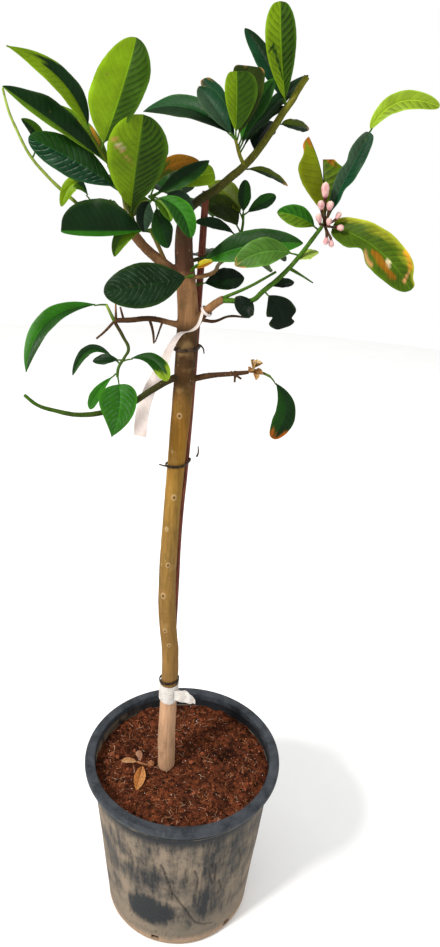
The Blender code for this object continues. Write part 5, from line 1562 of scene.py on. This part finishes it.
def makeTie(name, height, tall, thick):
    # a soft band round both the trunk and the stake; makeTies adds a tail to the top and middle ties
    trunkMiddle, stakeMiddle = routeAt(trunk["route"], height), routeAt(stake["route"], height)
    gap = 0.9 + thick / 2
    loop = []
    for step in range(48):
        turn = math.tau * step / 48
        out = Vector((math.cos(turn), math.sin(turn), 0))
        trunkReach = trunkMiddle.dot(out) + trunkRadius(height)
        stakeReach = stakeMiddle.dot(out) + stake["radius"]
        if trunkReach >= stakeReach:
            loop.append(trunkMiddle + out * (trunkRadius(height) + gap))
        else:
            loop.append(stakeMiddle + out * (stake["radius"] + gap))
    deselectAll()
    bpy.ops.curve.primitive_bezier_circle_add()
    band = bpy.context.object
    spline = band.data.splines[0]
    spline.bezier_points.add(len(loop) - 4)
    for knot, place in zip(spline.bezier_points, loop):
        knot.handle_left_type = "AUTO"
        knot.handle_right_type = "AUTO"
        knot.co = Vector((place.x, place.y, 0)) * mm
    band.data.dimensions = "2D"
    band.data.fill_mode = "NONE"
    band.data.resolution_u = 2
    band.data.extrude = (tall / 2 - thick / 2) * mm
    band.data.bevel_depth = thick / 2 * mm
    band.data.bevel_resolution = 2
    choose(band)
    bpy.ops.object.convert(target="MESH")
    band = bpy.context.object
    points = pointsOf(band)
    middle = (trunkMiddle + stakeMiddle) / 2 * mm
    tilt = 0.06 * (points[:, 0] - middle.x) - 0.10 * (points[:, 1] - middle.y)
    points[:, 2] += height * mm + tilt + 0.35 * mm * roughness(points, 14, height)
    movePoints(band, points)
    bpy.ops.object.mode_set(mode="EDIT")
    bpy.ops.mesh.select_all(action="SELECT")
    bpy.ops.mesh.remove_doubles(threshold=1e-6)
    bpy.ops.mesh.normals_make_consistent(inside=False)
    bpy.ops.object.mode_set(mode="OBJECT")
    return band


def makeTies():
    for name, (height, tall, thick) in tieSet.items():
        pieces = [makeTie(name, height, tall, thick)]
        if name == "tie_middle":
            pieces.append(tubeCurve([(-30, -9.5, 674), (-34, -10.8, 675), (-38.5, -12, 677)], [0.9, 0.9, 0.7], 2))
            pieces.append(tubeCurve([(2, 16, 676), (3.4, 13, 682), (3.0, 12, 690)], [1.1, 0.9, 0.6], 2))
        if name == "tie_top":
            pieces.append(tubeCurve([(1, 14, 804), (4, 12, 801), (5, 11, 796)], [0.9, 0.8, 0.6], 2))
        made = joined(pieces, name + ".fine")
        made.data.materials.clear()
        made.data.materials.append(tieMaterial)
        smooth(made, 50)
        dressed(made, name)


def ribbonSheet(rows, columns, thickness):
    # a strap through rows of (middle, half width, side), as a thin sheet with its own thickness
    deselectAll()
    bpy.ops.mesh.primitive_grid_add(x_subdivisions=columns, y_subdivisions=len(rows) - 1, size=2.0)
    made = bpy.context.object
    points = pointsOf(made)
    row = np.rint((points[:, 1] + 1) / 2 * (len(rows) - 1)).astype(int)
    middles = np.array([tuple(middle) for middle, _, _ in rows])
    halves = np.array([half for _, half, _ in rows])
    sides = np.array([tuple(Vector(side).normalized()) for _, _, side in rows])
    placed = middles[row] + sides[row] * (points[:, 0] * halves[row])[:, None]
    movePoints(made, placed * mm)
    applyModifier(made, "SOLIDIFY", thickness=thickness * mm, offset=0.0)
    return made


def makeTape():
    deselectAll()
    segments, rows = 64, tape["ribs"] * 6
    bpy.ops.mesh.primitive_cylinder_add(vertices=segments, radius=1, depth=1, end_fill_type="NOTHING")
    made = bpy.context.object
    bpy.ops.object.mode_set(mode="EDIT")
    bpy.ops.mesh.select_all(action="SELECT")
    bpy.ops.mesh.subdivide_edgering(number_cuts=rows - 1)
    bpy.ops.object.mode_set(mode="OBJECT")
    points = pointsOf(made)
    turn = np.arctan2(points[:, 1], points[:, 0])
    share = points[:, 2] + 0.5
    height = tape["foot"] + tape["height"] * share
    middle = np.array([routeAt(trunk["route"], value) for value in height])
    radius = np.array([trunkRadius(value) for value in height]) + tape["clear"] + tape["thick"] / 2
    wind = np.sin(math.tau * (tape["ribs"] * share + turn / math.tau))
    radius = radius + 0.32 * wind + 0.25 * np.sin(3 * turn + share * 9)
    level = height + 0.9 * np.sin(turn * 2 + 1) * (np.abs(share - 0.5) * 2) ** 3
    placed = np.column_stack([middle[:, 0] + np.cos(turn) * radius, middle[:, 1] + np.sin(turn) * radius, level])
    movePoints(made, placed * mm)
    applyModifier(made, "SOLIDIFY", thickness=1.0 * mm, offset=0.0)
    flapRows = []
    stops = [((-14, -11.2, 356), 6.0), ((-8, -12.2, 357), 7.6), ((-2, -12.6, 356.5), 8.6), ((4, -13.2, 355.2), 8.0),
             ((9, -13.4, 352.6), 5.4), ((13, -13.6, 349), 2.4)]
    for index in range(31):
        share = index / 30 * (len(stops) - 1)
        low = min(int(share), len(stops) - 2)
        middleHere = Vector(stops[low][0]).lerp(Vector(stops[low + 1][0]), share - low)
        half = stops[low][1] + (stops[low + 1][1] - stops[low][1]) * (share - low)
        middleHere.y += 0.7 * math.sin(index * 0.55)
        flapRows.append((middleHere, half, (0.12 * math.sin(index * 0.2), 0.15, 1)))
    flap = ribbonSheet(flapRows, 12, 0.8)
    made = joined([made, flap], "graft_tape.fine")
    bpy.ops.object.mode_set(mode="EDIT")
    bpy.ops.mesh.select_all(action="SELECT")
    bpy.ops.mesh.normals_make_consistent(inside=False)
    bpy.ops.object.mode_set(mode="OBJECT")
    made.data.materials.clear()
    made.data.materials.append(tapeMaterial)
    smooth(made, 45)
    dressed(made, "graft_tape")


makeStake()
makeTies()
makeTape()
print("stake, ties and tape done")


label = {
    "stops": [((2.0, -13.6, 846.0), 1.5), ((-2, -15.5, 833), 1.8), ((-8, -15.5, 827), 2.0),
              ((-20, -14.5, 822), 2.6), ((-28, -11.5, 810), 3.6), ((-35, -8, 793), 4.6), ((-40, -5, 781), 5.6),
              ((-49, -3, 762), 7.0), ((-55, -4, 745), 7.6), ((-59, -5, 725), 7.8), ((-60, -7, 707), 7.8)],
    "side": (0.86, -0.42, 0.30),
    "thickness": 0.45,
}


def paintLabel(start):
    place = placeOf(start)
    fold = place.grain(16, 3, 0.6)
    dirt = place.grain(5, 4, 0.7)
    colour = fold.rise(0.3, 0.7).blend(flat((238, 226, 220)), flat((224, 208, 200)))
    colour = (dirt.rise(0.6, 0.75) * 0.4).blend(colour, flat((176, 154, 140)))
    return {"Base Color": colour, "Roughness": fold.rise(0.2, 0.8, 0.4, 0.55), "Normal": fold.bump(0.5)}


labelMaterial = makeMaterial("blankLabel", paintLabel, Specular_IOR_Level=0.12)


def curveThrough(stops, count):
    # smooth places through the stops, evenly numbered
    places = np.array([place for place, _ in stops], float)
    halves = np.array([half for _, half in stops], float)
    padded = np.vstack([2 * places[0] - places[1], places, 2 * places[-1] - places[-2]])
    rows = []
    for index in range(count):
        share = index / (count - 1) * (len(places) - 1)
        low = min(int(share), len(places) - 2)
        part = share - low
        a, b, c, d = padded[low:low + 4]
        place = 0.5 * (2 * b + (c - a) * part + (2 * a - 5 * b + 4 * c - d) * part ** 2
                       + (3 * b - a - 3 * c + d) * part ** 3)
        rows.append((place, halves[low] + (halves[low + 1] - halves[low]) * part))
    return rows


def makeLabel():
    rows = []
    smoothRows = curveThrough(label["stops"], 56)
    for index, (place, half) in enumerate(smoothRows):
        ahead = smoothRows[min(index + 1, 55)][0] - smoothRows[max(index - 1, 0)][0]
        ahead = Vector(ahead).normalized()
        side = Vector(label["side"])
        side = side - ahead * side.dot(ahead)
        rows.append((place, half, side))
    strap = ribbonSheet(rows, 8, label["thickness"])
    deselectAll()
    bpy.ops.mesh.primitive_torus_add(major_radius=6.0 * mm, minor_radius=0.6 * mm, major_segments=40, minor_segments=8)
    ring = bpy.context.object
    fork = trunk["branches"][2][0]
    ahead = (Vector(fork[3]) - Vector(fork[1])).normalized()
    ring.matrix_world = Matrix.Translation(Vector(alongRoute(fork, 0.62)) * mm) @ ahead.to_track_quat("Z", "Y").to_matrix().to_4x4()
    ring.scale = (1.0, 1.0, 2.6)
    made = joined([strap, settle(ring)], "label_tag.fine")
    bpy.ops.object.mode_set(mode="EDIT")
    bpy.ops.mesh.select_all(action="SELECT")
    bpy.ops.mesh.normals_make_consistent(inside=False)
    bpy.ops.object.mode_set(mode="OBJECT")
    made.data.materials.clear()
    made.data.materials.append(labelMaterial)
    smooth(made, 50)
    dressed(made, "label_tag")


makeLabel()
print("label done")


buds = {
    "shootEnd": (107, -60, 941),
    # foot and tip from the shoot's end, and greatest radius
    "places": [((-4, -12, 19), (-5, -13, 34), 3.6), ((-6, -12, 10), (-8, -15, 19), 3.1),
               ((0, -13, 10), (1, -16, 19), 3.1), ((-6, -11, -1), (-9, -14, 8), 2.7),
               ((1, -13, -2), (1, -16, 5), 2.6), ((8, -12, -3), (15, -14, -3), 2.8),
               ((1, -11, -11), (0, -14, -18), 2.6), ((5, -11, -13), (6, -13, -20), 2.4),
               ((7, -10, 3), (11, -11, 10), 2.3)],
}


def paintBud(start):
    place = placeOf(start)
    along = attribute(start, "span", "Fac")
    mottle = place.grain(3.2, 3, 0.6)
    pink = mottle.rise(0.3, 0.7).blend(flat((214, 150, 152)), flat((240, 196, 188)))
    colour = along.rise(0.30, 0.10).blend(pink, flat((112, 44, 58)))
    colour = (along.rise(0.75, 1.0) * 0.7).blend(colour, flat((246, 222, 206)))
    colour = along.rise(0.02, -0.25).blend(colour, flat((86, 60, 36)))
    return {"Base Color": colour, "Roughness": mottle.rise(0.2, 0.8, 0.4, 0.55), "Normal": mottle.bump(0.2)}


def paintDry(start):
    place = placeOf(start)
    tone = attribute(start, "tone")
    crinkle = place.grain(3.5, 4, 0.7)
    veins = place.cells(4.0, "DISTANCE_TO_EDGE").rise(0.10, 0.0)
    colour = tone.brighter(crinkle.rise(0.25, 0.75, 0.7, 1.22))
    colour = (veins * 0.3).blend(colour, flat((96, 58, 30)))
    return {"Base Color": colour, "Roughness": crinkle.rise(0.2, 0.8, 0.7, 0.9),
            "Normal": (crinkle - veins * 0.5).bump(0.6)}


budMaterial = makeMaterial("blossomBud", paintBud, Specular_IOR_Level=0.12)
dryMaterial = makeMaterial("dryLeaf", paintDry, Specular_IOR_Level=0.06)


def makeBudMaster():
    # a closed bud, 1 long along z: a narrow cup, then five petals that swell and close
    deselectAll()
    bpy.ops.mesh.primitive_uv_sphere_add(segments=20, ring_count=18, radius=1.0)
    bud = bpy.context.object
    points = pointsOf(bud)
    height = (points[:, 2] + 1) / 2
    turn = np.arctan2(points[:, 1], points[:, 0])
    swell = np.interp(height, [0, 0.08, 0.2, 0.42, 0.68, 0.88, 1.0], [0.0, 0.48, 0.62, 0.9, 1.0, 0.72, 0.0])
    petals = 1 + 0.07 * np.cos(5 * turn) * np.clip(height * 3 - 0.6, 0, 1)
    movePoints(bud, np.column_stack([np.cos(turn) * swell * petals, np.sin(turn) * swell * petals, height]))
    return bud


def budBetween(master, foot, tip, radius):
    bud = copied(master, "bud")
    way = Vector(tip) - Vector(foot)
    turn = way.to_track_quat("Z", "Y").to_matrix().to_4x4()
    size = Matrix.Diagonal((radius * mm, radius * mm, way.length * mm, 1.0))
    writeColours(bud, "tone", np.ones((len(bud.data.vertices), 4)))
    span = pointsOf(bud)[:, 2]
    layer = bud.data.attributes.new("span", "FLOAT_VECTOR", "POINT")
    layer.data.foreach_set("vector", np.repeat(span, 3))
    bud.matrix_world = Matrix.Translation(Vector(foot) * mm) @ turn @ size
    return settle(bud)


def budStalk(foot, start, thickness):
    # thin stalk from the shoot to the bud
    middle = (Vector(foot) + Vector(start)) / 2 + Vector((0, -1.5, 0))
    stalk = tubeCurve([start, middle, foot], [thickness * 1.3, thickness, thickness * 1.5], 2)
    writeVectors(stalk, "span", np.full((len(stalk.data.vertices), 3), -0.3))
    writeColours(stalk, "tone", np.ones((len(stalk.data.vertices), 4)))
    return stalk


def makeBuds():
    master = makeBudMaster()
    end = Vector(buds["shootEnd"])
    pieces = []
    for foot, tip, radius in buds["places"]:
        foot, tip = end + Vector(foot), end + Vector(tip)
        pieces.append(budBetween(master, foot, tip, radius))
        pieces.append(budStalk(foot, end + Vector((0, 0, -4)) * 0.9, 0.9))
    made = joined(pieces, "bud_cluster.fine")
    made.data.materials.clear()
    made.data.materials.append(budMaterial)
    smooth(made, 60)
    dressed(made, "bud_cluster")
    bpy.data.objects.remove(master)


litter = {
    "middle": (-55, -4, 232),
    "core": ([(-61, -1, 231.6), (-55, -4, 232.2), (-47, -6, 231.6)], (1.7, 1.4)),
    # along the core, reach and width of each dry arm, with its tones
    "arms": [(0.2, (-24, 2, 1), 8, ((206, 158, 112), (190, 138, 92))),
             (0.4, (-6, 20, 2), 9, ((198, 150, 118), (176, 124, 96))),
             (0.6, (-5, -46, 1), 15, ((206, 142, 84), (190, 120, 62))),
             (0.9, (11, 2, 1), 8, ((180, 122, 84), (160, 104, 66)))],
}
dried = {
    "foot": (53, 18, 777),
    "core": ([(54, 18, 778), (58, 16, 779), (63, 15, 778)], (2.4, 1.8)),
    "scraps": [((-3, -6, 13), 8), ((4, -7, 14), 9), ((11, -2, 9), 8), ((11, -5, -3), 8), ((4, -9, -8), 7),
               ((-2, -11, 2), 8)],
}


def dryScrap(foot, reach, width, looks, curl, blank, fold=26, bow=3.0, sweep=0.0):
    # a shrivelled leaf or petal: the leaf blank, crumpled and curled
    tones["dryMinus"], tones["dryPlus"] = looks
    spec = leaf(0, reach, width, (0.1, -0.5, 0.9), ("dryMinus", "dryPlus"), bow=bow, sweep=sweep, fold=fold,
                ribs=0.4, tip=0.8)
    made, stalk = growLeaf(blank, foot, spec)
    bpy.data.objects.remove(stalk)
    points = pointsOf(made)
    normals = normalsOf(made)
    crumple = curl * roughness(points, width * 0.9, width) + curl * 0.5 * roughness(points, width * 0.4, width + 3)
    movePoints(made, points + np.array([0.3, 0.2, 1.0]) * (crumple * mm)[:, None] + normals * 0)
    return made


def makeLitterAndDried():
    blank = makeLeafBlank()
    route, ends = litter["core"]
    core = tubeCurve(route, [ends[0], (ends[0] + ends[1]) / 2, ends[1]], 3)
    writeColours(core, "tone", np.tile(tuple(v * brightness for v in linear((176, 116, 76))) + (0.4,),
                                       (len(core.data.vertices), 1)))
    writeVectors(core, "span", np.zeros((len(core.data.vertices), 3)))
    pieces = [core]
    for along, reach, width, looks in litter["arms"]:
        pieces.append(dryScrap(alongRoute(route, along), reach, width, looks, 1.3, blank))
    made = joined(pieces, "dry_litter.fine")
    made.data.materials.clear()
    made.data.materials.append(dryMaterial)
    smooth(made, 60)
    dressed(made, "dry_litter")

    route, ends = dried["core"]
    core = tubeCurve(route, [ends[0], 2.1, ends[1]], 3)
    writeColours(core, "tone", np.tile(tuple(v * brightness for v in linear((150, 106, 62))) + (0.4,),
                                       (len(core.data.vertices), 1)))
    writeVectors(core, "span", np.zeros((len(core.data.vertices), 3)))
    pieces = [core]
    for reach, width in dried["scraps"]:
        looks = dice.choice([((206, 164, 106), (176, 126, 74)), ((190, 140, 84), (150, 102, 58)),
                             ((222, 188, 136), (190, 146, 92))])
        pieces.append(dryScrap(alongRoute(route, 0.4), reach, width, looks, 1.6, blank, 20, 2.0,
                               dice.uniform(-2, 2)))
    made = joined(pieces, "dried_flowers.fine")
    made.data.materials.clear()
    made.data.materials.append(dryMaterial)
    smooth(made, 60)
    dressed(made, "dried_flowers")
    bpy.data.objects.remove(blank)


makeBuds()
makeLitterAndDried()
print("buds, dried blossom and litter done")


print("done")
